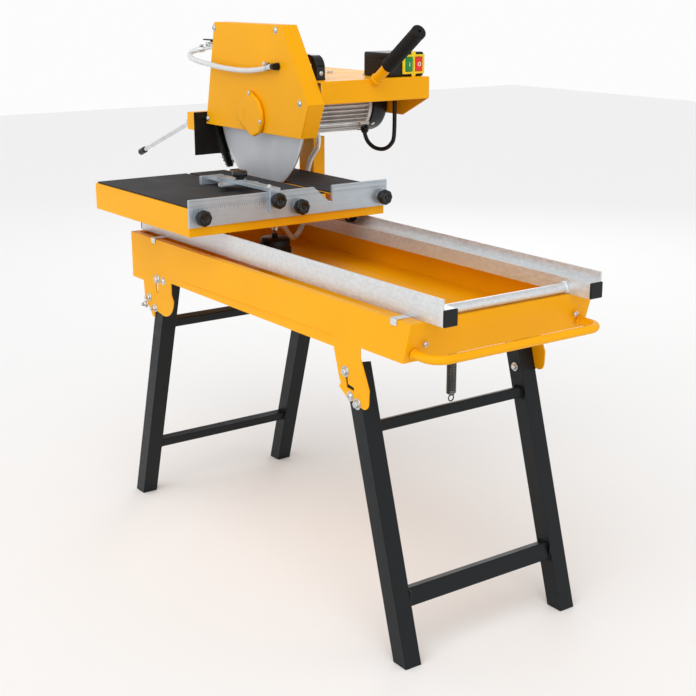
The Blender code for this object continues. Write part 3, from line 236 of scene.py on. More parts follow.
def lapped_steel(name, slot, colour):
    """A saw disc's rolled core: rings 2 mm apart left by lapping, centred on the arbor."""
    tree, shader, place = new_material(name, slot, metallic=0.5)
    low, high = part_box("blade")
    centre = (low + high) / 2
    moved = add(tree, "Mapping", {"Vector": place, "Location": -centre, "Scale": (1, 0, 1)}).outputs["Vector"]
    radius = add(tree, "VectorMath", {0: moved}, operation="LENGTH").outputs["Value"]
    apart = add(tree, "CombineXYZ", {"X": radius}).outputs["Vector"]
    ring = marks(tree, apart, 2, detail=3.0)
    cloud = marks(tree, place, 60, detail=2.0)
    mixed = add(tree, "Math", {0: ring, 1: cloud}, operation="ADD").outputs["Value"]
    finish_with(tree, shader, between(tree, mixed, shade(colour, 0.90), shade(colour, 1.06), 0.7, 1.3),
                between(tree, ring, 0.36, 0.48))
    relief(tree, shader, ring, 0.04, 0.2)


def moulded(name, slot, colour, rough_low, rough_high, grain_mm=1.4, depth_mm=0.12, **fixed):
    """Injection moulded plastic or rubber: an even colour with the spark-eroded grain of its mould."""
    fixed = {"Specular_IOR_Level": 0.3, **fixed}
    tree, shader, place = new_material(name, slot, IOR=1.5, **fixed)
    grain = marks(tree, place, grain_mm, detail=2.0)
    cloud = marks(tree, place, 35, detail=3.0)
    finish_with(tree, shader, between(tree, cloud, shade(colour, 0.86), shade(colour, 1.12)),
                between(tree, grain, rough_low, rough_high))
    relief(tree, shader, grain, depth_mm, 0.35)


def ribbed_rubber(name, slot, colour):
    """A rubber mat with ribs across it and grooves between, each 3 mm wide, with stone dust lying on it."""
    rib_mm = 3
    tree, shader, place = new_material(name, slot, IOR=1.5, Specular_IOR_Level=0.2)
    wave = add(tree, "TexWave", {"Vector": place, "Scale": 1000 / rib_mm / 20 * math.pi, "Distortion": 0.0},
               wave_type="BANDS", bands_direction="X").outputs["Fac"]
    dust = marks(tree, place, 1.6, detail=3.0)
    cloud = marks(tree, place, 70, detail=4.0)
    mixed = add(tree, "Math", {0: dust, 1: cloud}, operation="ADD").outputs["Value"]
    finish_with(tree, shader, between(tree, mixed, shade(colour, 0.82), shade(colour, 1.2), 0.75, 1.25),
                between(tree, cloud, 0.62, 0.78))
    height = add(tree, "Math", {0: wave, 1: dust}, operation="ADD").outputs["Value"]
    relief(tree, shader, height, 0.25, 0.35)


def clear_vinyl(name, slot, colour):
    """Clear vinyl hose: milky in its wall, with long bright highlights."""
    tree, shader, place = new_material(name, slot, IOR=1.5, Transmission_Weight=0.3, Coat_Weight=0.4)
    cloud = marks(tree, place, 14, detail=2.0)
    finish_with(tree, shader, between(tree, cloud, shade(colour, 0.93), shade(colour, 1.0)),
                between(tree, cloud, 0.12, 0.2))


def make_materials(look):
    powder_coat("yellow_powder_coat", "yellow_paint", look.paint, 0.32, 0.44, 0.10, 0.14)
    powder_coat("black_powder_coat", "black_paint", look.legs, 0.34, 0.46, 0.14, 0.24)
    galvanised("galvanised_steel", "zinc", look.zinc)
    drawn_metal("extruded_aluminium", "aluminium", look.aluminium, "y", 0.32, 0.44)
    drawn_metal("milled_aluminium", "aluminium", look.aluminium, "x", 0.30, 0.42, 0.9)
    grainy_metal("cast_aluminium", "aluminium", look.casting, 1.2, 0.38, 0.52, 0.55)
    grainy_metal("plated_steel", "steel", look.plated, 0.8, 0.20, 0.32, 1.0)
    grainy_metal("sintered_rim", "steel", look.rim, 1.6, 0.30, 0.42)
    grainy_metal("spring_steel", "steel", look.spring, 0.6, 0.24, 0.36, 1.0)
    lapped_steel("lapped_steel", "steel", look.blade)
    ribbed_rubber("ribbed_rubber", "black_rubber", look.mat)
    moulded("soft_rubber", "black_rubber", look.rubber, 0.55, 0.72, 1.8, 0.2, Specular_IOR_Level=0.25)
    moulded("cable_sheath", "black_rubber", look.rubber, 0.35, 0.48, 2.2, 0.05)
    moulded("nylon_bristle", "black_rubber", look.rubber, 0.4, 0.55, 0.8, 0.1)
    moulded("black_abs", "black_plastic", look.plastic, 0.32, 0.44)
    moulded("black_bakelite", "black_plastic", look.plastic, 0.16, 0.26, 1.8, 0.05, Coat_Weight=0.2)
    moulded("yellow_abs", "yellow_plastic", look.switch, 0.26, 0.36)
    moulded("green_abs", "green_plastic", look.start, 0.24, 0.34)
    moulded("red_abs", "red_plastic", look.stop, 0.24, 0.34)
    moulded("white_print", "yellow_plastic", look.mark, 0.3, 0.4)
    moulded("engraved_ink", "aluminium", look.ink, 0.5, 0.6)
    clear_vinyl("clear_vinyl", "clear_hose", look.hose)
    _, floor_shader, _ = new_material("studio_board", "zinc", Roughness=0.9, Specular_IOR_Level=0.1)
    floor_shader.inputs["Base Color"].default_value = shade(look.floor, 1.0)


# --- shapes ---------------------------------------------------------------------------------------
def at(x, y, z):
    """A place measured from HOME."""
    return HOME + Vector((x, y, z))


def together(forms):
    whole = bmesh.new()
    for form in forms:
        mesh = bpy.data.meshes.new("part")
        form.to_mesh(mesh)
        form.free()
        whole.from_mesh(mesh)
        bpy.data.meshes.remove(mesh)
    return whole


def block(low, high):
    low, high = Vector(low), Vector(high)
    form = bmesh.new()
    stand = Matrix.Translation((low + high) / 2) @ Matrix.Diagonal((*(high - low), 1.0))
    bmesh.ops.create_cube(form, size=1.0, matrix=stand)
    return form


def prism(outline, axis, low, high):
    """A flat outline, given by its other two axes in order, made thick from low to high along an axis."""
    along = "xyz".index(axis)
    flat = [i for i in range(3) if i != along]
    form = bmesh.new()
    rings = []
    for depth in (low, high):
        ring = []
        for point in outline:
            place = [depth] * 3
            place[flat[0]], place[flat[1]] = point
            ring.append(form.verts.new(place))
        form.faces.new(ring)
        rings.append(ring)
    for i in range(len(outline)):
        form.faces.new([rings[0][i - 1], rings[0][i], rings[1][i], rings[1][i - 1]])
    bmesh.ops.recalc_face_normals(form, faces=form.faces)
    return form


def turned(profile, place, direction, sides=48, wave=None):
    """A profile of (radius, distance) turned about a line. It ends on the line, or closes on itself."""
    stand = Matrix.Translation(place) @ Vector(direction).to_track_quat("Z", "Y").to_matrix().to_4x4()
    form = bmesh.new()
    rings = []
    for radius, along in profile:
        ring = []
        for i in range(sides if radius > 0 else 1):
            angle = 2 * math.pi * i / sides
            reach = radius * (wave(angle) if wave else 1)
            ring.append(form.verts.new(stand @ Vector((reach * math.cos(angle), reach * math.sin(angle),
                                                       along))))
        rings.append(ring)
    pairs = list(zip(rings, rings[1:]))
    if profile[0][0] > 0:
        pairs.append((rings[-1], rings[0]))
    for ring, after in pairs:
        for i in range(sides):
            corners = [ring[i % len(ring)], ring[(i + 1) % len(ring)],
                       after[(i + 1) % len(after)], after[i % len(after)]]
            form.faces.new(list(dict.fromkeys(corners)))
    bmesh.ops.recalc_face_normals(form, faces=form.faces)
    return form


def swept(points, radius, sides=16, swell=None):
    """A round bar along the points. swell gives each point's share of the radius."""
    points = [Vector(point) for point in points]
    form = bmesh.new()
    side = (points[1] - points[0]).orthogonal().normalized()
    rings = []
    for i, point in enumerate(points):
        along = (points[min(i + 1, len(points) - 1)] - points[max(i - 1, 0)]).normalized()
        side = (side - along * side.dot(along)).normalized()
        other = along.cross(side)
        reach = radius * (swell(i) if swell else 1)
        rings.append([form.verts.new(point + (side * math.cos(2 * math.pi * k / sides)
                                              + other * math.sin(2 * math.pi * k / sides)) * reach)
                      for k in range(sides)])
    for ring, after in zip(rings, rings[1:]):
        for k in range(sides):
            form.faces.new([ring[k - 1], ring[k], after[k], after[k - 1]])
    form.faces.new(rings[0])
    form.faces.new(rings[-1])
    bmesh.ops.recalc_face_normals(form, faces=form.faces)
    return form


def smooth_route(points, steps=8):
    """A Catmull-Rom curve through the points, measured from HOME."""
    points = [at(*point) for point in points]
    ends = [2 * points[0] - points[1]] + points + [2 * points[-1] - points[-2]]
    route = []
    for before, here, after, later in zip(ends, ends[1:], ends[2:], ends[3:]):
        for step in range(steps):
            t = step / steps
            route.append(0.5 * (2 * here + (after - before) * t
                                + (2 * before - 5 * here + 4 * after - later) * t ** 2
                                + (3 * here - before - 3 * after + later) * t ** 3))
    return route + [points[-1]]


def arc(centre, radius, start, end, count):
    angles = [math.radians(start + (end - start) * i / count) for i in range(count + 1)]
    return [(centre[0] + radius * math.cos(a), centre[1] + radius * math.sin(a)) for a in angles]


def hex_bolt(place, direction, size=0.0065, proud=0.006, washer=1.45):
    """A hexagon head on a plain washer."""
    rim, base = size * washer, 0.0013
    return together([
        turned([(0, 0), (rim, 0), (rim, base * 0.7), (rim - 0.0004, base), (0, base)], place, direction, 28),
        turned([(0, base), (size, base), (size, proud * 0.85), (size * 0.86, proud), (0, proud)],
               place, direction, 6)])


def stud_and_nut(place, direction, size=0.0065, proud=0.011):
    """A nut on a washer, with the end of its bolt standing out."""
    bolt = size * 0.58
    return together([hex_bolt(place, direction, size),
                     turned([(0, 0), (bolt, 0), (bolt, proud - 0.001), (bolt * 0.8, proud), (0, proud)],
                            place, direction, 20)])


def dome_screw(place, direction, size=0.0048):
    """A button head with a hexagon socket, on a small washer."""
    rim, base, high, socket = size * 1.35, 0.0008, size * 0.62, size * 0.42
    return together([
        turned([(0, 0), (rim, 0), (rim, base), (0, base)], place, direction, 24),
        turned([(0, base), (size, base), (size * 0.96, high * 0.5), (size * 0.78, high * 0.86),
                (socket * 1.3, high), (socket, high), (socket * 0.9, high * 0.45), (0, high * 0.45)],
               place, direction, 24)])


def weld_bead(place, direction, radius, size=0.0022):
    """The ripple of a weld round a tube."""
    ripples = 26
    return turned([(radius + size * math.cos(a), size * math.sin(a))
                   for a in [2 * math.pi * k / 10 for k in range(10)]],
                  place, direction, ripples * 3, lambda angle: 1 + 0.035 * math.sin(ripples * angle))


# --- pieces ---------------------------------------------------------------------------------------
def new_piece(name, form, material, body, replaces=(), smooth=35, blend=None):
    """Puts a piece in the scene with its material, in place of the nodes that it stands for: on its body, or,
    where blend is given, fixed where it stands on no body.
    """
    mesh = bpy.data.meshes.new(name)
    form.to_mesh(mesh)
    form.free()
    mesh.materials.append(bpy.data.materials[material])
    mesh.shade_smooth()
    mesh.set_sharp_from_angle(angle=math.radians(smooth))
    obj = bpy.data.objects.new(name, mesh)
    bpy.context.scene.collection.objects.link(obj)
    if replaces:
        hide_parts(*replaces)
    if blend:
        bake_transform(obj)
    else:
        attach(obj, body)
    return obj


def rounded(obj, width, steps=2, angle=40):
    """Rounds a piece's edges and keeps its flat faces flat."""
    bevel = obj.modifiers.new("Edges", "BEVEL")
    bevel.width = width
    bevel.segments = steps
    bevel.limit_method = "ANGLE"
    bevel.angle_limit = math.radians(angle)
    bevel.use_clamp_overlap = True
    flat = obj.modifiers.new("Flats", "WEIGHTED_NORMAL")
    flat.keep_sharp = True
    obj.data.set_sharp_from_angle(angle=math.radians(60))
    obj.data.shade_smooth()
    return obj


def solid_of(node):
    """A copy of a node's solid with its points joined and its flat faces whole."""
    form = bmesh.new()
    form.from_mesh(frame["nodes"][node].data)
    bmesh.ops.remove_doubles(form, verts=form.verts, dist=0.00001)
    bmesh.ops.dissolve_limit(form, angle_limit=math.radians(0.6), verts=form.verts[:], edges=form.edges[:])
    return form


def carved(form, cutters):
    """The form with the cutters taken out of it."""
    helpers = []
    for number, part in enumerate([form, *cutters]):
        mesh = bpy.data.meshes.new(f"carving_{number}")
        part.to_mesh(mesh)
        part.free()
        helpers.append(bpy.data.objects.new(mesh.name, mesh))
        bpy.context.scene.collection.objects.link(helpers[-1])
    for cutter in helpers[1:]:
        cut = helpers[0].modifiers.new("Cut", "BOOLEAN")
        cut.operation = "DIFFERENCE"
        cut.object = cutter
    bpy.context.view_layer.update()
    result = bpy.data.meshes.new_from_object(helpers[0].evaluated_get(bpy.context.evaluated_depsgraph_get()))
    whole = bmesh.new()
    whole.from_mesh(result)
    bpy.data.meshes.remove(result)
    for helper in helpers:
        bpy.data.objects.remove(helper)
    bmesh.ops.dissolve_limit(whole, angle_limit=math.radians(0.6), verts=whole.verts[:], edges=whole.edges[:])
    return whole


def from_node(node, name, material, edge, steps=2, cutters=(), angle=40):
    """A node's solid with finished edges, which stands in for it."""
    form = solid_of(node)
    if cutters:
        form = carved(form, cutters)
    obj = new_piece(name, form, material, BODY_OF[node], [node])
    return rounded(obj, edge, steps, angle)


def hardware(name, forms, body, material="plated_steel"):
    return new_piece(name, together(forms), material, body)


def star_knob(node, name, direction, material="black_bakelite"):
    """A star grip with eight lobes, a dished face and a short neck, on its threaded stud."""
    low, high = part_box(node)
    direction = Vector(direction)
    middle, half = (low + high) / 2, (high - low) / 2
    deep = 2 * abs(half.dot(direction))
    base = middle - direction * deep / 2
    radius = sorted(half)[1] if deep / 2 <= sorted(half)[1] else sorted(half)[0]
    neck, rise = radius * 0.56, deep * 0.3
    profile = [(0, 0), (neck, 0), (neck, rise), (radius * 0.86, rise * 1.05), (radius * 0.97, rise * 1.35),
               (radius, deep * 0.55), (radius * 0.98, deep * 0.85), (radius * 0.86, deep * 0.97),
               (radius * 0.66, deep), (radius * 0.52, deep * 0.975), (radius * 0.4, deep * 0.9),
               (0, deep * 0.9)]
    lobes = 8
    rings = together([turned(profile, base, direction, 96, lambda angle: 1 - 0.075 * (1 - abs(
        math.cos(lobes * angle / 2)) ** 0.8)),
        turned([(0, 0), (radius * 0.2, 0), (radius * 0.2, deep * 0.93), (radius * 0.14, deep * 0.96),
                (0, deep * 0.96)], base, direction, 20)])
    new_piece(name, rings, material, BODY_OF[node], [node], 50)
    hardware(name + "_washer", [turned([(radius * 0.3, 0), (radius * 0.78, 0), (radius * 0.78, 0.0012),
                                        (radius * 0.3, 0.0012)], base - direction * 0.0001, direction, 32)],
             BODY_OF[node])


# --- hoses and the lead ---------------------------------------------------------------------------
def hose(name, route, radius, material, body, nodes, length, stiffness, blend=None, sides=18):
    path = smooth_route(route)
    piece = new_piece(name, swept(path, radius, sides), material, body, nodes, 60, blend)
    return path


def worm_clamp(name, place, direction, radius, lug, body):
    """A steel band round a hose end, with its screw housing on one side."""
    direction, lug = Vector(direction).normalized(), Vector(lug)
    half = 0.0042
    band = turned([(radius, -half), (radius + 0.0008, -half), (radius + 0.0008, half), (radius, half)],
                  place, direction, 40)
    across = direction.cross(lug).normalized()
    housing = place + lug * (radius + 0.0032)
    screw = turned([(0, -0.007), (0.0026, -0.007), (0.0026, 0.004), (0.0042, 0.0045), (0.0042, 0.0085),
                    (0.0034, 0.0095), (0, 0.0095)], housing, across, 16)
    hardware(name, [band, screw], body)


def build_hoses(sizes):
    spray = hose("spray_pipe", SPRAY_HOSE, sizes.hose_radius, "clear_vinyl", "head", ["spray_hose"], 0.384,
                 "stiff")
    feed = hose("feed_pipe", FEED_HOSE, sizes.hose_radius, "clear_vinyl", "frame", ["feed_hose", "head_hose"],
                1.028, "stiff", ("head", at(-0.402, 0.215, 0.760), at(-0.2450, 0.0905, 0.9400)))
    hose("motor_cable", MOTOR_LEAD, sizes.lead_radius, "cable_sheath", "head", ["motor_lead"], 0.257,
         "medium")
    for name, place, after, body in (("spray_clamp_rear", spray[4], spray[5], "head"),
                                     ("spray_clamp_front", spray[-4], spray[-3], "head"),
                                     ("feed_clamp_head", feed[4], feed[5], "head"),
                                     ("feed_clamp_pump", feed[-4], feed[-3], "frame")):
        worm_clamp(name, place, after - place, sizes.hose_radius + 0.0003, UP if "pump" not in name else REAR,
                   body)
    tie = at(*FEED_HOSE[14])
    band = turned([(0.0061, -0.002), (0.0074, -0.002), (0.0074, 0.002), (0.0061, 0.002)], tie, UP, 30)
    new_piece("hose_tie", together([band, block(tie - Vector((0.003, 0.0105, 0.003)),
                                                tie + Vector((0.003, -0.0068, 0.003)))]),
              "black_abs", "frame")


# --- tray, rails and bumper -----------------------------------------------------------------------
def leg_brackets():
    """Where bolts, cap screws and studs sit on each side sheet: (x, z) from HOME."""
    return {
        "bolt": ((-0.371, 0.538), (0.329, 0.503), (0.364, 0.452)),
        "cap": ((-0.345, 0.5386), (0.343, 0.461)),
        "stud": ((-0.411, 0.491), (-0.428, 0.472), (-0.386, 0.471)),
    }


def build_tray(sizes):
    wall, out = sizes.sheet, (TRAY_HIGH.y - TRAY_LOW.y) / 2
    slots = []
    for side in (-1, 1):
        low, high = sorted((side * (out - 2 * wall), side * (out + wall)))
        slots.append(prism([at(x, 0, z).xz for x, z in
                            ((-0.3785, 0.508), (-0.3715, 0.506), (-0.3690, 0.529), (-0.3770, 0.529))],
                           "y", low + HOME.y, high + HOME.y))
        slots.append(prism([at(x, 0, z).xz for x, z in (
            (0.328, 0.494), (0.3345, 0.494), (0.3365, 0.4815), (0.354, 0.479), (0.354, 0.4725),
            (0.3325, 0.4745))],
            "y", low + HOME.y, high + HOME.y))
    from_node("tray", "tray_sheet", "yellow_powder_coat", 0.0009, 2, slots)
    bolts = []
    for side, facing in ((-1, NEAR), (1, FAR)):
        face = side * out
        for x, z in leg_brackets()["bolt"]:
            bolts.append(hex_bolt(at(x, face, z), facing, 0.0072, 0.0065))
        for x, z in leg_brackets()["cap"]:
            bolts.append(dome_screw(at(x, face, z), facing, 0.0068))
        for x, z in leg_brackets()["stud"]:
            bolts.append(stud_and_nut(at(x, face, z), facing, 0.0062, 0.0125))
    hardware("leg_bolts", bolts, "frame")
    seams = []
    for side in (-1, 1):
        face = side * (out + 0.0002)
        points = [at(x, face, z) for x, z in ((-0.262, 0.5525), (0.0, 0.5555), (0.285, 0.5600))]
        seams.append(swept(points, 0.0011, 10))
    new_piece("tray_seams", together(seams), "yellow_powder_coat", "frame")
    clips = []
    for x in (-0.380, 0.466):
        for side in (-1, 1):
            rim = sorted((side * (out + 0.002), side * 0.181))
            leaf = sorted((side * (out + 0.0004), side * (out + 0.0024)))
            clips.append(block(at(x - 0.008, rim[0], 0.6258), at(x + 0.008, rim[1], 0.6280)))
            clips.append(block(at(x - 0.008, leaf[0], 0.6160), at(x + 0.008, leaf[1], 0.6280)))
    rounded(new_piece("rail_clips", together(clips), "galvanised_steel", "frame"), 0.0006)
    screws = [dome_screw(at(0.5052, side * 0.172, 0.586), FRONT, 0.0040) for side in (-1, 1)]
    hardware("bumper_screws", screws, "frame")
    build_bumper(sizes)


def build_bumper(sizes):
    low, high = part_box("bumper_handle")
    radius, bend = (high.z - low.z) / 2, sizes.bumper_bend
    middle, half = (low.z + high.z) / 2, (high.y - low.y) / 2 - radius
    centre_y = (low.y + high.y) / 2
    corner = (high.x - radius - bend, half - bend)
    far_half = [(low.x + radius * 0.2, half)] + arc(corner, bend, 90, 0, 14)
    route = [(x, -y) for x, y in far_half] + [(x, y) for x, y in reversed(far_half)]
    points = [Vector((x, centre_y + y, middle)) for x, y in route]
    new_piece("bumper_tube", swept(points, radius, 28), "yellow_powder_coat", "frame", ["bumper_handle"])
    beads = [weld_bead(point, FRONT, radius) for point in (points[0] + Vector((0.001, 0, 0)),
                                                          points[-1] + Vector((0.001, 0, 0)))]
    new_piece("bumper_welds", together(beads), "yellow_powder_coat", "frame")


def build_rails(sizes):
    caps = []
    for side in ("near", "far"):
        from_node("rail_" + side, f"rail_{side}_section", "galvanised_steel", 0.0007)
        low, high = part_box("rail_" + side)
        deep, tall = 0.0285, 0.0285
        for x, sign in ((low.x, -1), (high.x, 1)):
            ends = sorted((x - sign * 0.001, x + sign * 0.0042))
            caps.append(block((ends[0], low.y - 0.0003, low.z - 0.0001),
                              (ends[1], low.y + deep + 0.0002, low.z + tall + 0.0004)))
    rounded(new_piece("rail_end_caps", together(caps), "black_abs", "frame"), 0.0022, 3)
    low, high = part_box("cross_tube")
    middle, radius = (low + high) / 2, (high.z - low.z) / 2
    length = high.y - low.y
    start = Vector((middle.x, low.y, middle.z))
    tube = turned([(0, 0), (radius, 0), (radius, length), (0, length)], start, FAR, 48)
    new_piece("cross_bar", tube, "galvanised_steel", "frame", ["cross_tube"])
    beads = [weld_bead(start + Vector((0, shift, 0)), FAR, radius * 1.02, 0.0028)
             for shift in (0.0015, length - 0.0015)]
    new_piece("cross_bar_welds", together(beads), "galvanised_steel", "frame")


# --- legs -----------------------------------------------------------------------------------------
def build_legs(sizes):
    for end in ("front", "rear"):
        for side in ("near", "far"):
            from_node(f"{end}_leg_{side}", f"{end}_leg_{side}_tube", "black_powder_coat", 0.0032, 3)
        for level in ("upper", "lower"):
            node = f"{end}_bar_{level}"
            from_node(node, node + "_tube", "black_powder_coat", 0.0022, 3)
            low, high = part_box(node)
            middle = (low + high) / 2
            beads = []
            for y in (low.y + 0.0008, high.y - 0.0008):
                reach = (high.z - low.z) * 0.42
                corners = [(middle.x - reach, middle.z - reach), (middle.x + reach, middle.z - reach),
                           (middle.x + reach, middle.z + reach), (middle.x - reach, middle.z + reach),
                           (middle.x - reach, middle.z - reach)]
                beads.append(swept([Vector((x, y, z)) for x, z in corners], 0.0018, 8))
            new_piece(node + "_welds", together(beads), "black_powder_coat", BODY_OF[node])
    leg_pivot_bolts()
    build_spring(sizes)


def leg_pivot_bolts():
    """Bolt heads on the inner face of each leg, at its hinge and just below it."""
    lean = math.radians(16.4)
    for end, (x, z), way in (("front", (0.340, 0.5015), 1), ("rear", (-0.352, 0.5385), -1)):
        heads = []
        for side, facing in (("near", 1), ("far", -1)):
            low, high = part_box(f"{end}_leg_{side}")
            face = (high if facing > 0 else low).y
            for down in (0.006, 0.052):
                place = at(x + way * down * math.sin(lean), 0, z - down * math.cos(lean))
                place.y = face
                heads.append(hex_bolt(place, (0, facing, 0), 0.0058, 0.0052))
        hardware(end + "_leg_bolts", heads, end + "_legs")


def build_spring(sizes):
    """A coil with a hook at each end, from the tray's underside to the front legs' upper bar."""
    low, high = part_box("leg_spring")
    middle = (low + high) / 2
    radius, wire = sizes.spring_radius, sizes.spring_wire
    top, foot = high.z - 0.018, low.z + 0.016
    turns, per_turn = int((top - foot) / (wire * 2.25)), 14
    coil = []
    for i in range(turns * per_turn + 1):
        angle = 2 * math.pi * i / per_turn
        coil.append(Vector((middle.x + radius * math.cos(angle), middle.y + radius * math.sin(angle),
                            top - (top - foot) * i / (turns * per_turn))))
    hook = [Vector((middle.x + 0.006 * math.sin(a), middle.y, high.z - 0.007 + 0.006 * math.cos(a)))
            for a in [math.radians(-150 + 300 * k / 10) for k in range(11)]]
    eye = [Vector((middle.x, middle.y + 0.006 * math.sin(a), low.z + 0.007 - 0.006 * math.cos(a)))
           for a in [math.radians(-150 + 300 * k / 10) for k in range(11)]]
    forms = [swept(coil, wire, 8), swept(hook + coil[:3], wire, 8),
             swept(eye[::-1] + coil[-3:][::-1], wire, 8)]
    new_piece("leg_spring_coil", together(forms), "spring_steel", "frame", ["leg_spring"], 60,
              ("front_legs", Vector((middle.x, middle.y, high.z - 0.01)),
               Vector((middle.x, middle.y, low.z + 0.01))))
    lug = block((middle.x - 0.0015, middle.y - 0.008, high.z - 0.012),
                (middle.x + 0.0015, middle.y + 0.008, high.z + 0.002))
    rounded(new_piece("spring_lug", lug, "yellow_powder_coat", "frame"), 0.0008)


# --- table and fence ------------------------------------------------------------------------------
def build_table(sizes):
    from_node("table", "table_top", "yellow_powder_coat", 0.0011)
    for strip in ("near", "middle", "far"):
        from_node("mat_" + strip, f"mat_{strip}_sheet", "ribbed_rubber", 0.0008)
    axles = []
    for end in ("front", "rear"):
        for side in ("near", "far"):
            node = f"roller_{end}_{side}"
            low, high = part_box(node)
            middle, radius = (low + high) / 2, (high.z - low.z) / 2
            stub = (high.y - low.y) / 2
            half = stub - 0.002
            wheel = turned([(0, -stub), (0.004, -stub), (0.0042, -half), (radius * 0.62, -half),
                            (radius * 0.68, -half + 0.001), (radius * 0.86, -half + 0.001),
                            (radius * 0.9, -half),
                            (radius * 0.98, -half + 0.0004), (radius, -half + 0.0014),
                            (radius, half - 0.0014),
                            (radius * 0.98, half - 0.0004), (radius * 0.9, half),
                            (radius * 0.86, half - 0.001),
                            (radius * 0.68, half - 0.001), (radius * 0.62, half), (0.0042, half),
                            (0.004, stub),
                            (0, stub)], middle, FAR, 48)
            new_piece(node + "_wheel", wheel, "black_abs", BODY_OF[node], [node])
            for sign, facing in ((-1, NEAR), (1, FAR)):
                axles.append(hex_bolt(middle + Vector((0, sign * (stub + 0.0034), 0)), facing, 0.0042, 0.003,
                                      1.1))
    hardware("axle_bolts", axles, "table")


def build_fence(sizes):
    low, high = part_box("fence")
    face = high.x
    groove_z = high.z - sizes.fence_groove
    notch = HOME.y + 0.020
    groove = block((face - 0.0012, low.y - 0.01, groove_z - 0.0009),
                   (face + 0.01, notch + 0.2, groove_z + 0.0009))
    top_step = block((face - 0.0008, low.y - 0.01, high.z - 0.0042),
                     (face + 0.01, high.y + 0.01, high.z - 0.0034))
    from_node("fence", "fence_plate", "extruded_aluminium", 0.0006, 2, [groove, top_step])
    ticks = []
    for number in range(int(sizes.scale_length / 0.005)):
        y = low.y + 0.010 + 0.005 * number
        tall = 0.0052 if number % 2 == 0 else 0.0030
        if number % 10 == 0:
            tall = 0.0078
        ticks.append(block((face - 0.0002, y - 0.00035, groove_z - 0.0022 - tall),
                           (face + 0.00012, y + 0.00035, groove_z - 0.0022)))
    new_piece("fence_scale", together(ticks), "engraved_ink", "table")
    for which in ("near", "middle", "far"):
        star_knob("fence_knob_" + which, f"fence_knob_{which}_star", FRONT)


def build_mitre(sizes):
    low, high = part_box("mitre_bar")
    middle = (low.y + high.y) / 2
    grooves = []
    for shift in (-0.0085, 0.0085):
        grooves.append(block((low.x + 0.046, middle + shift - 0.0008, high.z - 0.0008),
                             (high.x - 0.016, middle + shift + 0.0008, high.z + 0.004)))
    from_node("mitre_bar", "mitre_arm", "milled_aluminium", 0.0009, 2, grooves)
    from_node("mitre_head", "mitre_stop", "milled_aluminium", 0.0007)
    star_knob("mitre_clamp_knob", "mitre_clamp_star", FRONT)
    star_knob("mitre_lock_knob", "mitre_lock_star", UP)
    pivot_x = HOME.x - 0.232
    marks_at = [math.radians(angle) for angle in range(105, 256, 15)]
    ticks = []
    top = high.z - 0.0078
    for angle in marks_at:
        inner, outer = 0.036, 0.043
        start = Vector((pivot_x + inner * math.cos(angle), middle + inner * math.sin(angle), top))
        end = Vector((pivot_x + outer * math.cos(angle), middle + outer * math.sin(angle), top))
        ticks.append(swept([start, end], 0.00035, 6))
    new_piece("mitre_scale", together(ticks), "engraved_ink", "mitre_head")
    bolt = hex_bolt(Vector((high.x - 0.024, middle, high.z)), UP, 0.0048, 0.0042)
    hardware("mitre_bolt", [bolt], "mitre_gauge")


# --- column and hinge -----------------------------------------------------------------------------
def build_column(sizes):
    from_node("column", "column_tube", "yellow_powder_coat", 0.0026, 3)
    from_node("head_arm", "hinge_beam", "yellow_powder_coat", 0.0026, 3)
    low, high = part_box("column")
    shaft_low, shaft_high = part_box("pivot_shaft")
    radius, middle = (shaft_high.z - shaft_low.z) / 2, (shaft_low + shaft_high) / 2
    start = Vector((middle.x, shaft_low.y, middle.z))
    length = shaft_high.y - shaft_low.y
    bar = turned([(0, 0), (radius - 0.001, 0), (radius, 0.001), (radius, length - 0.001),
                  (radius - 0.001, length), (0, length)], start, FAR, 40)
    new_piece("hinge_pin", bar, "plated_steel", "head", ["pivot_shaft"])
    face = high.y
    collar = turned([(radius + 0.0004, 0), (radius * 1.9, 0), (radius * 1.9, 0.0018),
                     (radius + 0.0004, 0.0018)],
                    Vector((middle.x, face + 0.0001, middle.z)), FAR, 36)
    hardware("hinge_washer", [collar], "frame")
    rail = low.z + 0.038
    bolts = [hex_bolt(Vector((HOME.x - 0.431 + dx, HOME.y + 0.2143, rail + dz)), FAR, 0.0060, 0.0055)
             for dx in (-0.045, 0.045) for dz in (-0.022, 0.022)]
    hardware("column_bolts", bolts, "frame")
    for node, name, material in (("clamp_rod", "clamp_bar", "plated_steel"),
                                 ("clamp_knob", "clamp_grip", "black_abs")):
        from_node(node, name, material, 0.0010 if node == "clamp_rod" else 0.0016)


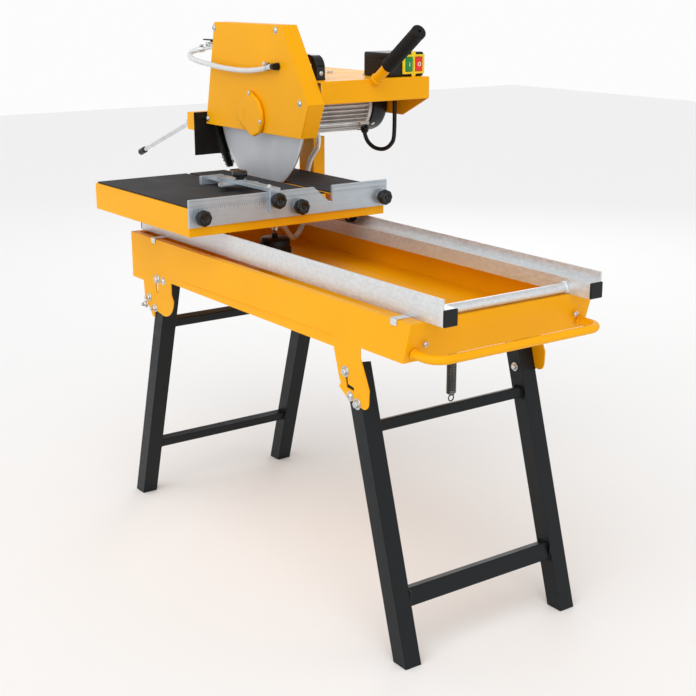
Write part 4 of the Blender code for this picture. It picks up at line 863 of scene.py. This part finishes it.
# --- guard and blade ------------------------------------------------------------------------------
def build_guard(sizes):
    from_node("guard", "guard_shell", "yellow_powder_coat", 0.0012)
    from_node("guard_cover", "guard_plate", "yellow_powder_coat", 0.0007)
    from_node("hub_cover", "hub_cap", "yellow_powder_coat", 0.0005, 2, angle=60)
    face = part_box("guard_cover")[0].y
    screws = [dome_screw(Vector((HOME.x + x, face, z)), NEAR, 0.0056)
              for x, z in ((-0.527, 1.057), (-0.271, 1.059), (-0.182, 0.913), (-0.568, 0.852))]
    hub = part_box("hub_cover")[0].y
    screws += [dome_screw(Vector((HOME.x + x, hub, z)), NEAR, 0.0036)
               for x, z in ((-0.3665, 0.9235), (-0.3225, 0.8650))]
    hardware("guard_screws", screws, "head")
    ridge = [Vector((HOME.x + x, hub + 0.0004, z)) for x, z in
             ((-0.3867, 0.890), (-0.3870, 0.878), (-0.3850, 0.866))]
    new_piece("hub_cap_dimple", swept(ridge, 0.0012, 10), "yellow_powder_coat", "head")
    nozzle = turned([(0, 0), (0.0088, 0), (0.0088, 0.0045), (0.0062, 0.0050), (0.0062, 0.0125), (0, 0.0125)],
                    at(-0.262, 0, 0.985) * Vector((1, 0, 1)) + Vector((0, face, 0)), NEAR, 6)
    elbow = turned([(0, 0), (0.0070, 0), (0.0070, 0.010), (0, 0.010)],
                   Vector((HOME.x - 0.266, HOME.y + 0.028, 0.985)), FRONT, 24)
    new_piece("spray_elbow", together([nozzle, elbow]), "black_abs", "head")


def build_blade(sizes):
    low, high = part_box("blade")
    middle, radius, half = (low + high) / 2, (high.z - low.z) / 2, (high.y - low.y) / 2
    bore, rim = 0.0098, radius - sizes.rim_depth
    core = half * 0.86
    disc = turned([(bore, -core), (rim, -core), (rim, core), (bore, core)], middle, FAR, 160)
    new_piece("blade_core", disc, "lapped_steel", "blade_shaft", ["blade"])
    band = turned([(rim - 0.0001, -half), (radius - 0.0004, -half), (radius, -half * 0.5),
                   (radius, half * 0.5),
                   (radius - 0.0004, half), (rim - 0.0001, half)], middle, FAR, 160)
    new_piece("blade_rim", band, "sintered_rim", "blade_shaft")
    from_node("blade_flange", "clamp_flange", "plated_steel", 0.0008)
    from_node("motor_shaft", "rotor_shaft", "plated_steel", 0.0006)
    nut_place = Vector((middle.x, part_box("motor_shaft")[0].y + 0.0004, middle.z))
    nut = turned([(0.0098, 0), (0.0145, 0), (0.0145, -0.0002), (0.0098, -0.0002)], nut_place, FAR, 6)
    hardware("arbor_nut", [nut], "blade_shaft")


# --- motor ----------------------------------------------------------------------------------------
def build_motor(sizes):
    low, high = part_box("motor_body")
    middle, radius = (low + high) / 2, (high.z - low.z) / 2
    length, root = high.y - low.y, radius - sizes.fin_depth
    start = Vector((middle.x, low.y, middle.z))
    outline = []
    fins = 38
    for i in range(fins):
        for share, reach in ((-0.26, root), (-0.14, radius), (0.14, radius), (0.26, root)):
            angle = 2 * math.pi * (i + share) / fins
            outline.append((middle.x + reach * math.cos(angle), middle.z + reach * math.sin(angle)))
    bell = 0.014
    body = prism(outline, "y", low.y + bell * 0.5, high.y - bell)
    bore = turned([(0, -0.01), (0.046, -0.01), (0.046, length), (0, length)], start + Vector((0, 0.012, 0)),
                  FAR, 40)
    rounded(new_piece("motor_fins", carved(body, [bore]), "cast_aluminium", "head", ["motor_body"]), 0.0005,
            1)
    ring = [(0.046, 0), (radius * 0.93, 0), (radius * 0.985, 0.002), (radius * 0.985, bell - 0.004),
            (radius * 0.95, bell - 0.001), (radius * 0.9, bell), (0.046, bell)]
    far_bell = turned(ring, Vector((middle.x, high.y - bell, middle.z)), FAR, 64)
    near_ring = [(0.0105, 0), (radius * 0.93, 0), (radius * 0.985, 0.002), (radius * 0.985, 0.013),
                 (0.0105, 0.013)]
    near_bell = turned(near_ring, start, FAR, 64)
    lugs, bolts = [], []
    for angle in (45, 135, 225, 315):
        turn = math.radians(angle)
        place = Vector((middle.x + radius * 0.93 * math.cos(turn), high.y - bell - 0.002,
                        middle.z + radius * 0.93 * math.sin(turn)))
        lugs.append(turned([(0, -0.010), (0.0066, -0.010), (0.0066, bell + 0.001), (0, bell + 0.001)], place,
                           FAR, 24))
        bolts.append(turned([(0, 0), (0.0028, 0), (0.0028, -length + 0.045), (0, -length + 0.045)],
                            place, FAR, 12))
        bolts.append(hex_bolt(place - Vector((0, 0.010, 0)), NEAR, 0.0042, 0.0045, 1.3))
    new_piece("motor_bells", together([far_bell, near_bell, *lugs]), "cast_aluminium", "head")
    hardware("motor_tie_bolts", bolts, "head")
    build_fan_cover(sizes)
    hood_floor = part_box("hood")[1].z - 0.0031
    feet = []
    for y in (low.y + 0.060, high.y - 0.060):
        for side in (-1, 1):
            feet.append(block((middle.x + side * 0.034 - 0.012, y - 0.018, middle.z + radius * 0.72),
                              (middle.x + side * 0.034 + 0.012, y + 0.018, hood_floor - 0.0004)))
    rounded(new_piece("motor_feet", together(feet), "cast_aluminium", "head"), 0.0015)


def build_fan_cover(sizes):
    low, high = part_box("fan_cover")
    middle, radius, deep = (low + high) / 2, (high.z - low.z) / 2, high.y - low.y
    start = Vector((middle.x, low.y, middle.z))
    wall, edge = 0.002, 0.006
    profile = [(radius, 0), (radius, deep * 0.7), (radius - edge * 0.35, deep - edge),
               (radius - edge, deep - 0.002),
               (radius - 2 * edge, deep), (0.0125, deep), (0.0125, deep - wall),
               (radius - 2 * edge, deep - wall),
               (radius - edge - wall, deep - 0.005), (radius - wall, deep * 0.7), (radius - wall, 0)]
    shell = turned(profile, start, FAR, 72)
    slots = []
    for ring_radius in (0.020, 0.0275, 0.035, 0.0425):
        for quarter in range(4):
            angles = [90 * quarter + 12 + 66 * k / 10 for k in range(11)]
            inner = [(middle.x + (ring_radius - 0.0018) * math.cos(math.radians(a)),
                      middle.z + (ring_radius - 0.0018) * math.sin(math.radians(a))) for a in angles]
            outer = [(middle.x + (ring_radius + 0.0018) * math.cos(math.radians(a)),
                      middle.z + (ring_radius + 0.0018) * math.sin(math.radians(a)))
                     for a in reversed(angles)]
            slots.append(prism(inner + outer, "y", high.y - 0.006, high.y + 0.004))
    new_piece("fan_grille", carved(shell, [together(slots)]), "black_abs", "head", ["fan_cover"])
    hub = turned([(0, deep - 0.0022), (0.0128, deep - 0.0022), (0.0128, deep), (0.011, deep + 0.0008),
                  (0, deep + 0.0008)], start, FAR, 36)
    new_piece("fan_cover_boss", hub, "black_abs", "head")
    screws = [dome_screw(Vector((middle.x + radius * math.cos(a), low.y + deep * 0.25,
                                 middle.z + radius * math.sin(a))), (math.cos(a), 0, math.sin(a)), 0.0032)
              for a in [math.radians(angle) for angle in (10, 170, 225, 315)]]
    hardware("fan_cover_screws", screws, "head")


# --- head plate, lever, handle and switch ---------------------------------------------------------
def build_hood(sizes):
    from_node("hood", "hood_sheet", "yellow_powder_coat", 0.0014)
    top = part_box("hood")[1].z
    places = ((-0.381, 0.256), (-0.280, 0.284), (-0.381, 0.150), (-0.470, 0.256))
    hardware("hood_bolts", [hex_bolt(Vector((HOME.x + x, HOME.y + y, top)), UP, 0.0062, 0.0055)
                            for x, y in places], "head")
    web = [hex_bolt(Vector((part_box("hood")[0].x - 0.0001, HOME.y + 0.170 + dy, 0.930)), REAR, 0.0052, 0.0048)
           for dy in (-0.034, 0.034)]
    hardware("arm_bolts", web, "head")


def build_lever(sizes):
    slope = math.radians(36)
    along = Vector((math.cos(slope), 0, math.sin(slope)))
    start = at(-0.166, 0.222, 0.951)
    from_node("lever_tube", "lever_bar", "yellow_powder_coat", 0.0003, 1)
    radius, length, first = 0.0158, 0.128, 0.060
    profile = [(0.0115, 0), (radius, 0), (radius, 0.006), (radius * 0.95, 0.008)]
    for k in range(1, 22):
        middle = 0.008 + k * 0.0049
        profile += [(radius * 0.95, middle - 0.0012), (radius * 0.985, middle - 0.0006),
                    (radius * 0.985, middle + 0.0006), (radius * 0.95, middle + 0.0012)]
    profile += [(radius * 0.95, length - 0.012), (radius, length - 0.010), (radius, length - 0.003),
                (radius * 0.93, length - 0.0007), (radius * 0.84, length), (0.0032, length),
                (0.0032, length - 0.012), (0.0115, length - 0.012)]
    new_piece("lever_grip", turned(profile, start + along * first, along, 56), "soft_rubber", "head",
              ["grip"], 40)
    bead = weld_bead(start + along * 0.0115, along, 0.0116, 0.0020)
    new_piece("lever_weld", bead, "yellow_powder_coat", "head")


def build_handle(sizes):
    from_node("carry_handle", "carry_grip", "black_bakelite", 0.0020, 3)
    low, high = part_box("carry_handle")
    middle = (low.y + high.y) / 2
    plates = [block((x - 0.011, low.y + 0.0004, low.z), (x + 0.011, high.y - 0.0004, low.z + 0.0035))
              for x in (low.x + 0.0095, high.x - 0.0095)]
    rounded(new_piece("carry_feet", together(plates), "black_abs", "head"), 0.0010)
    screws = [dome_screw(Vector((high.x + 0.0001, middle, low.z + 0.014)), FRONT, 0.0034),
              dome_screw(Vector((low.x - 0.0001, middle, low.z + 0.014)), REAR, 0.0034)]
    hardware("carry_screws", screws, "head")


def build_switch(sizes):
    low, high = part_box("switch_box")
    lid = high.z - 0.013
    seam = 0.0009
    outside = 0.01
    groove = carved(block((low.x - outside, low.y - outside, lid),
                          (high.x + outside, high.y + outside, lid + seam)),
                    [block((low.x + seam, low.y + seam, lid - 0.01),
                           (high.x - seam, high.y - seam, lid + 0.01))])
    from_node("switch_box", "switch_case", "black_abs", 0.0007, 2, [groove], 50)
    plate_low, plate_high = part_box("switch_plate")
    from_node("switch_plate", "switch_bezel", "yellow_abs", 0.0009)
    middle = (plate_low + plate_high) / 2
    tabs = []
    for z in (plate_low.z - 0.0018, plate_high.z + 0.0018):
        tabs.append(turned([(0, 0), (0.0055, 0), (0.0055, 0.0034), (0, 0.0034)],
                           Vector((plate_low.x, middle.y, z)), FRONT, 24))
    divider = block((plate_high.x - 0.001, middle.y - 0.0012, plate_low.z + 0.003),
                    (plate_high.x + 0.0018, middle.y + 0.0012, plate_high.z - 0.003))
    rounded(new_piece("switch_tabs", together([*tabs, divider]), "yellow_abs", "head"), 0.0005)
    for node, name, material in (("start_button", "start_key", "green_abs"),
                                 ("stop_button", "stop_key", "red_abs")):
        from_node(node, name, material, 0.0012, 3)
        button_low, button_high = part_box(node)
        face, centre = button_high.x, (button_low + button_high) / 2
        if node == "start_button":
            mark = block((face - 0.0001, centre.y - 0.0007, centre.z - 0.0045),
                         (face + 0.0002, centre.y + 0.0007, centre.z + 0.0045))
        else:
            mark = turned([(0.0030, 0), (0.0043, 0), (0.0043, 0.0003), (0.0030, 0.0003)],
                          Vector((face - 0.0001, centre.y, centre.z)), FRONT, 28)
        new_piece(name + "_mark", mark, "white_print", BODY_OF[node])
    gland = turned([(0.0052, 0), (0.0105, 0), (0.0105, -0.006), (0.0085, -0.0065), (0.0080, -0.013),
                    (0.0052, -0.017)],
                   at(*MOTOR_LEAD[-1]), UP, 24)
    motor_gland = turned([(0.0052, 0), (0.0100, 0), (0.0100, -0.005), (0.0078, -0.011), (0.0052, -0.014)],
                         at(*MOTOR_LEAD[0]) + Vector((0, 0, 0.002)), UP, 24)
    new_piece("cable_glands", together([gland, motor_gland]), "black_abs", "head")


# --- water, brush and curtain ---------------------------------------------------------------------
def build_water(sizes):
    low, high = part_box("water_tap")
    middle = (low + high) / 2
    length = high.x - low.x
    radius = min(high.y - low.y, high.z - low.z) / 2
    end = Vector((high.x, middle.y, low.z + radius))
    profile = [(0, 0), (radius * 0.78, 0), (radius * 0.78, 0.010), (radius, 0.011), (radius, 0.018),
               (radius * 0.82, 0.019), (radius * 0.9, 0.026), (radius * 0.98, 0.032), (radius * 0.9, 0.038),
               (radius * 0.66, 0.040), (radius * 0.62, length - 0.002), (radius * 0.5, length), (0, length)]
    body = turned(profile, end, REAR, 32)
    nut = turned([(0, 0.0105), (radius * 0.99, 0.0105), (radius * 0.99, 0.018), (0, 0.018)], end, REAR, 6)
    boss = turned([(0, 0), (0.0062, 0), (0.0062, radius), (0, radius)],
                  Vector((HOME.x - 0.5868 - 0.0085, middle.y, end.z)), UP, 20)
    new_piece("tap_body", together([body, nut, boss]), "plated_steel", "head", ["water_tap"])
    from_node("tap_lever", "tap_wing", "black_abs", 0.0008)
    stubs = []
    branch = 0.011
    for route in (SPRAY_HOSE, FEED_HOSE):
        first = at(*route[0])
        toward = (at(*route[1]) - first).normalized()
        stubs.append(swept([end + Vector((-0.020, 0, 0)), first, first + toward * branch * 0.3], 0.0040, 14))
    hardware("tap_branches", stubs, "head")
    build_brush(sizes)
    build_curtain(sizes)
    build_pump(sizes)


def build_brush(sizes):
    """Stiff bristles in five rows that fan in toward the blade's edge, and stray tips behind the holder."""
    arbor = (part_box("blade")[0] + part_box("blade")[1]) / 2
    low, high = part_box("brush")
    inner, outer = 0.184, 0.2005
    first, last = math.radians(195.6), math.radians(225.4)
    half = (high.y - low.y) / 2 * 0.86
    scatter = random.Random(7)
    bristles = []
    count = 150
    for i in range(count):
        for row in range(5):
            angle = first + (last - first) * (i + scatter.random()) / count
            lean = angle + scatter.uniform(-0.012, 0.012)
            y = arbor.y + half * (row / 2 - 1) + scatter.uniform(-0.001, 0.001)
            tip = inner + scatter.uniform(-0.0008, 0.002)
            if row % 2 == 0:
                splay = outer + scatter.uniform(0.001, 0.0075)
                tuft = angle + scatter.uniform(-0.03, 0.012)
                bristles.append(swept([
                    Vector((arbor.x + outer * math.cos(angle), y, arbor.z + outer * math.sin(angle))),
                    Vector((arbor.x + splay * math.cos(tuft), y, arbor.z + splay * math.sin(tuft)))], 0.0005,
                                      3))
            points = [Vector((arbor.x + outer * math.cos(angle), y, arbor.z + outer * math.sin(angle))),
                      Vector((arbor.x + tip * math.cos(lean), y, arbor.z + tip * math.sin(lean)))]
            bristles.append(swept(points, 0.00042, 3, lambda k: 1 - 0.4 * k))
    new_piece("brush_bristles", together(bristles), "nylon_bristle", "head", ["brush"])
    outline = (arc((arbor.x, arbor.z), outer - 0.005, 195.2, 225.8, 18)
               + arc((arbor.x, arbor.z), outer + 0.0004, 225.8, 195.2, 18))
    holder = prism(outline, "y", low.y, high.y)
    rounded(new_piece("brush_holder", holder, "black_abs", "head"), 0.0006)


def build_curtain(sizes):
    """A rubber flap that waves a little below the strip that it hangs from."""
    low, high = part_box("splash_curtain")
    thick = high.x - low.x
    form = bmesh.new()
    columns, rows, sway, ripple = 40, 14, 0.0012, 9.4
    grid = []
    for j in range(rows + 1):
        line = []
        for i in range(columns + 1):
            across, down = i / columns, j / rows
            wave = sway * math.sin(across * ripple) * down ** 1.5
            line.append(form.verts.new((low.x + thick / 2 + wave, low.y + (high.y - low.y) * across,
                                        high.z - (high.z - low.z) * down)))
        grid.append(line)
    for j in range(rows):
        for i in range(columns):
            form.faces.new([grid[j][i], grid[j][i + 1], grid[j + 1][i + 1], grid[j + 1][i]])
    flap = new_piece("curtain_flap", form, "soft_rubber", "head", ["splash_curtain"])
    solid = flap.modifiers.new("Thickness", "SOLIDIFY")
    solid.thickness = thick * 0.8
    solid.offset = 0
    rounded(flap, 0.0005, 2)
    strip = block((high.x, low.y + 0.004, high.z - 0.016), (high.x + 0.0024, high.y - 0.004, high.z - 0.002))
    rounded(new_piece("curtain_strip", strip, "black_abs", "head"), 0.0005)
    screws = [dome_screw(Vector((low.x + 0.0002, low.y + (high.y - low.y) * share, high.z - 0.009)), REAR,
                         0.0034)
              for share in (0.08, 0.36, 0.64, 0.92)]
    hardware("curtain_screws", screws, "head")


def build_pump(sizes):
    """A submersible pump: a ribbed strainer below, a smooth housing above and a spout."""
    low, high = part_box("pump")
    middle, radius = (low + high) / 2, (high.x - low.x) / 2
    base = Vector((middle.x, middle.y, low.z))
    tall = 0.052
    profile = [(0, 0), (radius * 0.97, 0), (radius, 0.0015)]
    for k in range(7):
        height = 0.004 + 0.0032 * k
        profile += [(radius, height), (radius * 0.93, height + 0.0006), (radius * 0.93, height + 0.0018),
                    (radius, height + 0.0024)]
    profile += [(radius, 0.030), (radius * 0.94, 0.032), (radius * 0.94, tall - 0.006),
                (radius * 0.86, tall - 0.0015), (radius * 0.78, tall), (0, tall)]
    housing = turned(profile, base, UP, 56)
    spout = turned([(0, tall - 0.004), (0.0078, tall - 0.004), (0.0078, tall + 0.001), (0.0060, tall + 0.003),
                    (0.0060, high.z - low.z), (0, high.z - low.z)], base, UP, 28)
    new_piece("pump_housing", together([housing, spout]), "black_abs", "frame", ["pump"])


# --- stage ----------------------------------------------------------------------------------------
def build_stage(look):
    reach = 9.0
    mesh = bpy.data.meshes.new("studio_floor")
    form = bmesh.new()
    bmesh.ops.create_grid(form, x_segments=1, y_segments=1, size=reach)
    form.to_mesh(mesh)
    form.free()
    mesh.materials.append(bpy.data.materials["studio_board"])
    floor = bpy.data.objects.new("studio_floor", mesh)
    floor.location.z = -0.0004
    bpy.context.scene.collection.objects.link(floor)
    world = bpy.data.worlds.new("Studio")
    world.use_nodes = True
    sky = world.node_tree.nodes["Background"]
    sky.inputs["Color"].default_value = shade(look.floor, 1.0)
    rise = add(world.node_tree, "SeparateXYZ",
               {"Vector": add(world.node_tree, "TexCoord").outputs["Generated"]})
    fade = add(world.node_tree, "MapRange", {"Value": rise.outputs["Z"], "From Min": 0.16, "From Max": 0.75,
                                            "To Min": look.surround, "To Max": look.surround * 0.6})
    world.node_tree.links.new(fade.outputs["Result"], sky.inputs["Strength"])
    bpy.context.scene.world = world
    middle = at(0, 0, 0.7)
    for name, place, size, power in (("key_light", (0.2, -3.0, 2.2), 2.0, 10),
                                     ("side_light", (3.2, -0.6, 2.0), 1.8, 8),
                                     ("back_light", (-2.6, 2.6, 2.2), 1.6, 12)):
        lamp = bpy.data.lights.new(name, "AREA")
        lamp.size = size
        lamp.energy = power
        holder = bpy.data.objects.new(name, lamp)
        holder.location = at(*place)
        holder.rotation_euler = (middle - holder.location).to_track_quat("-Z", "Y").to_euler()
        bpy.context.scene.collection.objects.link(holder)
    wash = bpy.data.lights.new("soft_wash", "SUN")
    wash.energy, wash.angle = 1.15, math.radians(60)
    holder = bpy.data.objects.new("soft_wash", wash)
    holder.rotation_euler = Vector((-0.9, 1.3, -2.0)).to_track_quat("-Z", "Y").to_euler()
    bpy.context.scene.collection.objects.link(holder)
    lens = bpy.data.cameras.new("camera")
    lens.lens = 66.5
    lens.sensor_width = 36.0
    camera = bpy.data.objects.new("camera", lens)
    camera.location = at(2.0760, -1.4559, 1.1563)
    camera.rotation_euler = (math.radians(74.112), 0, math.radians(54.345))
    bpy.context.scene.collection.objects.link(camera)
    bpy.context.scene.camera = camera
    bpy.context.scene.view_settings.view_transform = "Standard"


# --- what a user may change -----------------------------------------------------------------------
def colour_property(label, description, code):
    return bpy.props.FloatVectorProperty(name=label, description=description, subtype="COLOR", size=3, min=0,
                                         max=1, default=linear(code))


def length_property(label, description, metres):
    return bpy.props.FloatProperty(name=label, description=description, default=metres, min=0, unit="LENGTH")


class TileCutterLook(bpy.types.PropertyGroup):
    paint: colour_property("Paint", "Powder coat of the tray, table, head and column", "#F3AA04")
    legs: colour_property("Legs", "Powder coat of the legs and their bars", "#0E1316")
    zinc: colour_property("Zinc", "Galvanised rails and clips", "#DCDFE1")
    aluminium: colour_property("Aluminium", "Fence and mitre gauge", "#B8C2CB")
    casting: colour_property("Casting", "Motor housing", "#CFCCC9")
    plated: colour_property("Plated steel", "Bolts, screws and pins", "#D6D8D8")
    blade: colour_property("Blade", "Steel core of the saw blade", "#C2C5CA")
    spring: colour_property("Spring", "Oiled wire of the leg spring", "#5C6064")
    rim: colour_property("Rim", "Cutting rim of the saw blade", "#DADBDD")
    mat: colour_property("Mat", "Rubber on the table", "#323235")
    rubber: colour_property("Rubber", "Grip, curtain, lead and bristles", "#101112")
    plastic: colour_property("Plastic", "Knobs, caps, switch box and carry handle", "#0C0D0E")
    switch: colour_property("Switch", "Switch bezel", "#F2D21E")
    start: colour_property("Start", "Start button", "#1E8A46")
    stop: colour_property("Stop", "Stop button", "#D8322B")
    mark: colour_property("Mark", "Printing on the buttons", "#EDEDED")
    ink: colour_property("Ink", "Ruler marks", "#45484B")
    hose: colour_property("Hose", "Water hoses", "#EEF1F4")
    floor: colour_property("Floor", "Studio floor", "#F4F4F4")
    surround: bpy.props.FloatProperty(name="Surround", description="Strength of the light all round",
                                      default=1.08,
                                      min=0)


class TileCutterSizes(bpy.types.PropertyGroup):
    sheet: length_property("Sheet", "Thickness of the tray's side sheets", 0.0025)
    hose_radius: length_property("Hose radius", "Outer radius of the water hoses", 0.006)
    lead_radius: length_property("Lead radius", "Outer radius of the motor's lead", 0.0048)
    bumper_bend: length_property("Bumper bend", "Radius of the bumper tube's corners", 0.030)
    spring_radius: length_property("Spring radius", "Radius of the leg spring's coil", 0.0080)
    spring_wire: length_property("Spring wire", "Radius of the leg spring's wire", 0.0013)
    fence_groove: length_property("Fence groove", "Depth of the fence's groove below its top", 0.0135)
    scale_length: length_property("Scale length", "Length of the ruler on the fence", 0.170)
    rim_depth: length_property("Rim depth", "Depth of the blade's cutting rim", 0.007)
    fin_depth: length_property("Fin depth", "Depth of the motor's cooling fins", 0.0105)


# --- operators ------------------------------------------------------------------------------------
def operator_for(key, label, description, build):
    """An operator that builds one group of pieces. Every builder is given the panel's sizes."""
    def execute(self, context):
        build(context.scene.tile_cutter_sizes)
        return {"FINISHED"}

    return type(f"TILECUTTER_OT_{key}", (bpy.types.Operator,), {
        "__doc__": description, "bl_idname": f"tile_cutter.{key}", "bl_label": label,
        "bl_options": {"REGISTER", "UNDO"}, "execute": execute})


class TILECUTTER_OT_stage(bpy.types.Operator):
    """Make the materials, the floor, the lights and the camera"""
    bl_idname = "tile_cutter.stage"
    bl_label = "Stage"

    def execute(self, context):
        make_materials(context.scene.tile_cutter_look)
        build_stage(context.scene.tile_cutter_look)
        return {"FINISHED"}


GROUPS = (
    operator_for("hoses", "Hoses", "Make the water hoses, their clamps and the motor's lead", build_hoses),
    operator_for("tray", "Tray", "Make the tray, its brackets, bolts, clips and bumper", build_tray),
    operator_for("rails", "Rails", "Make the two rails, their caps and the cross tube", build_rails),
    operator_for("legs", "Legs", "Make the folding legs, their bars and the spring", build_legs),
    operator_for("table", "Table", "Make the rolling table, its mats and rollers", build_table),
    operator_for("fence", "Fence", "Make the fence, its ruler and its knobs", build_fence),
    operator_for("mitre", "Mitre gauge", "Make the mitre gauge and its knobs", build_mitre),
    operator_for("column", "Column", "Make the column, the hinge and the clamp lever", build_column),
    operator_for("guard", "Guard", "Make the blade guard and its screws", build_guard),
    operator_for("blade", "Blade", "Make the blade, its flange and shaft", build_blade),
    operator_for("motor", "Motor", "Make the motor and its fan cover", build_motor),
    operator_for("hood", "Head plate", "Make the plate that carries the motor", build_hood),
    operator_for("lever", "Lever", "Make the lever and its grip", build_lever),
    operator_for("handle", "Carry handle", "Make the carry handle", build_handle),
    operator_for("switch", "Switch", "Make the switch, its buttons and the cable glands", build_switch),
    operator_for("water", "Water and dirt", "Make the tap, brush, curtain and pump", build_water),
)


class TILECUTTER_PT_panel(bpy.types.Panel):
    """The sizes and colours, and a button for each group of pieces"""
    bl_label = "Tile Cutter"
    bl_idname = "TILECUTTER_PT_panel"
    bl_space_type = "VIEW_3D"
    bl_region_type = "UI"
    bl_category = "Tile Cutter"

    def draw(self, context):
        layout = self.layout
        for group in (context.scene.tile_cutter_sizes, context.scene.tile_cutter_look):
            for name in group.__annotations__:
                layout.prop(group, name)
        for operator in (TILECUTTER_OT_stage, *GROUPS):
            layout.operator(operator.bl_idname)


CLASSES = (TileCutterLook, TileCutterSizes, TILECUTTER_OT_stage, *GROUPS, TILECUTTER_PT_panel)


def register():
    for each in CLASSES:
        bpy.utils.register_class(each)
    bpy.types.Scene.tile_cutter_look = bpy.props.PointerProperty(type=TileCutterLook)
    bpy.types.Scene.tile_cutter_sizes = bpy.props.PointerProperty(type=TileCutterSizes)


def unregister():
    del bpy.types.Scene.tile_cutter_look
    del bpy.types.Scene.tile_cutter_sizes
    for each in reversed(CLASSES):
        bpy.utils.unregister_class(each)


def main():
    register()
    bpy.ops.tile_cutter.stage()
    for operator in GROUPS:
        getattr(bpy.ops.tile_cutter, operator.bl_idname.split(".")[1])()


if __name__ == "__main__":
    main()
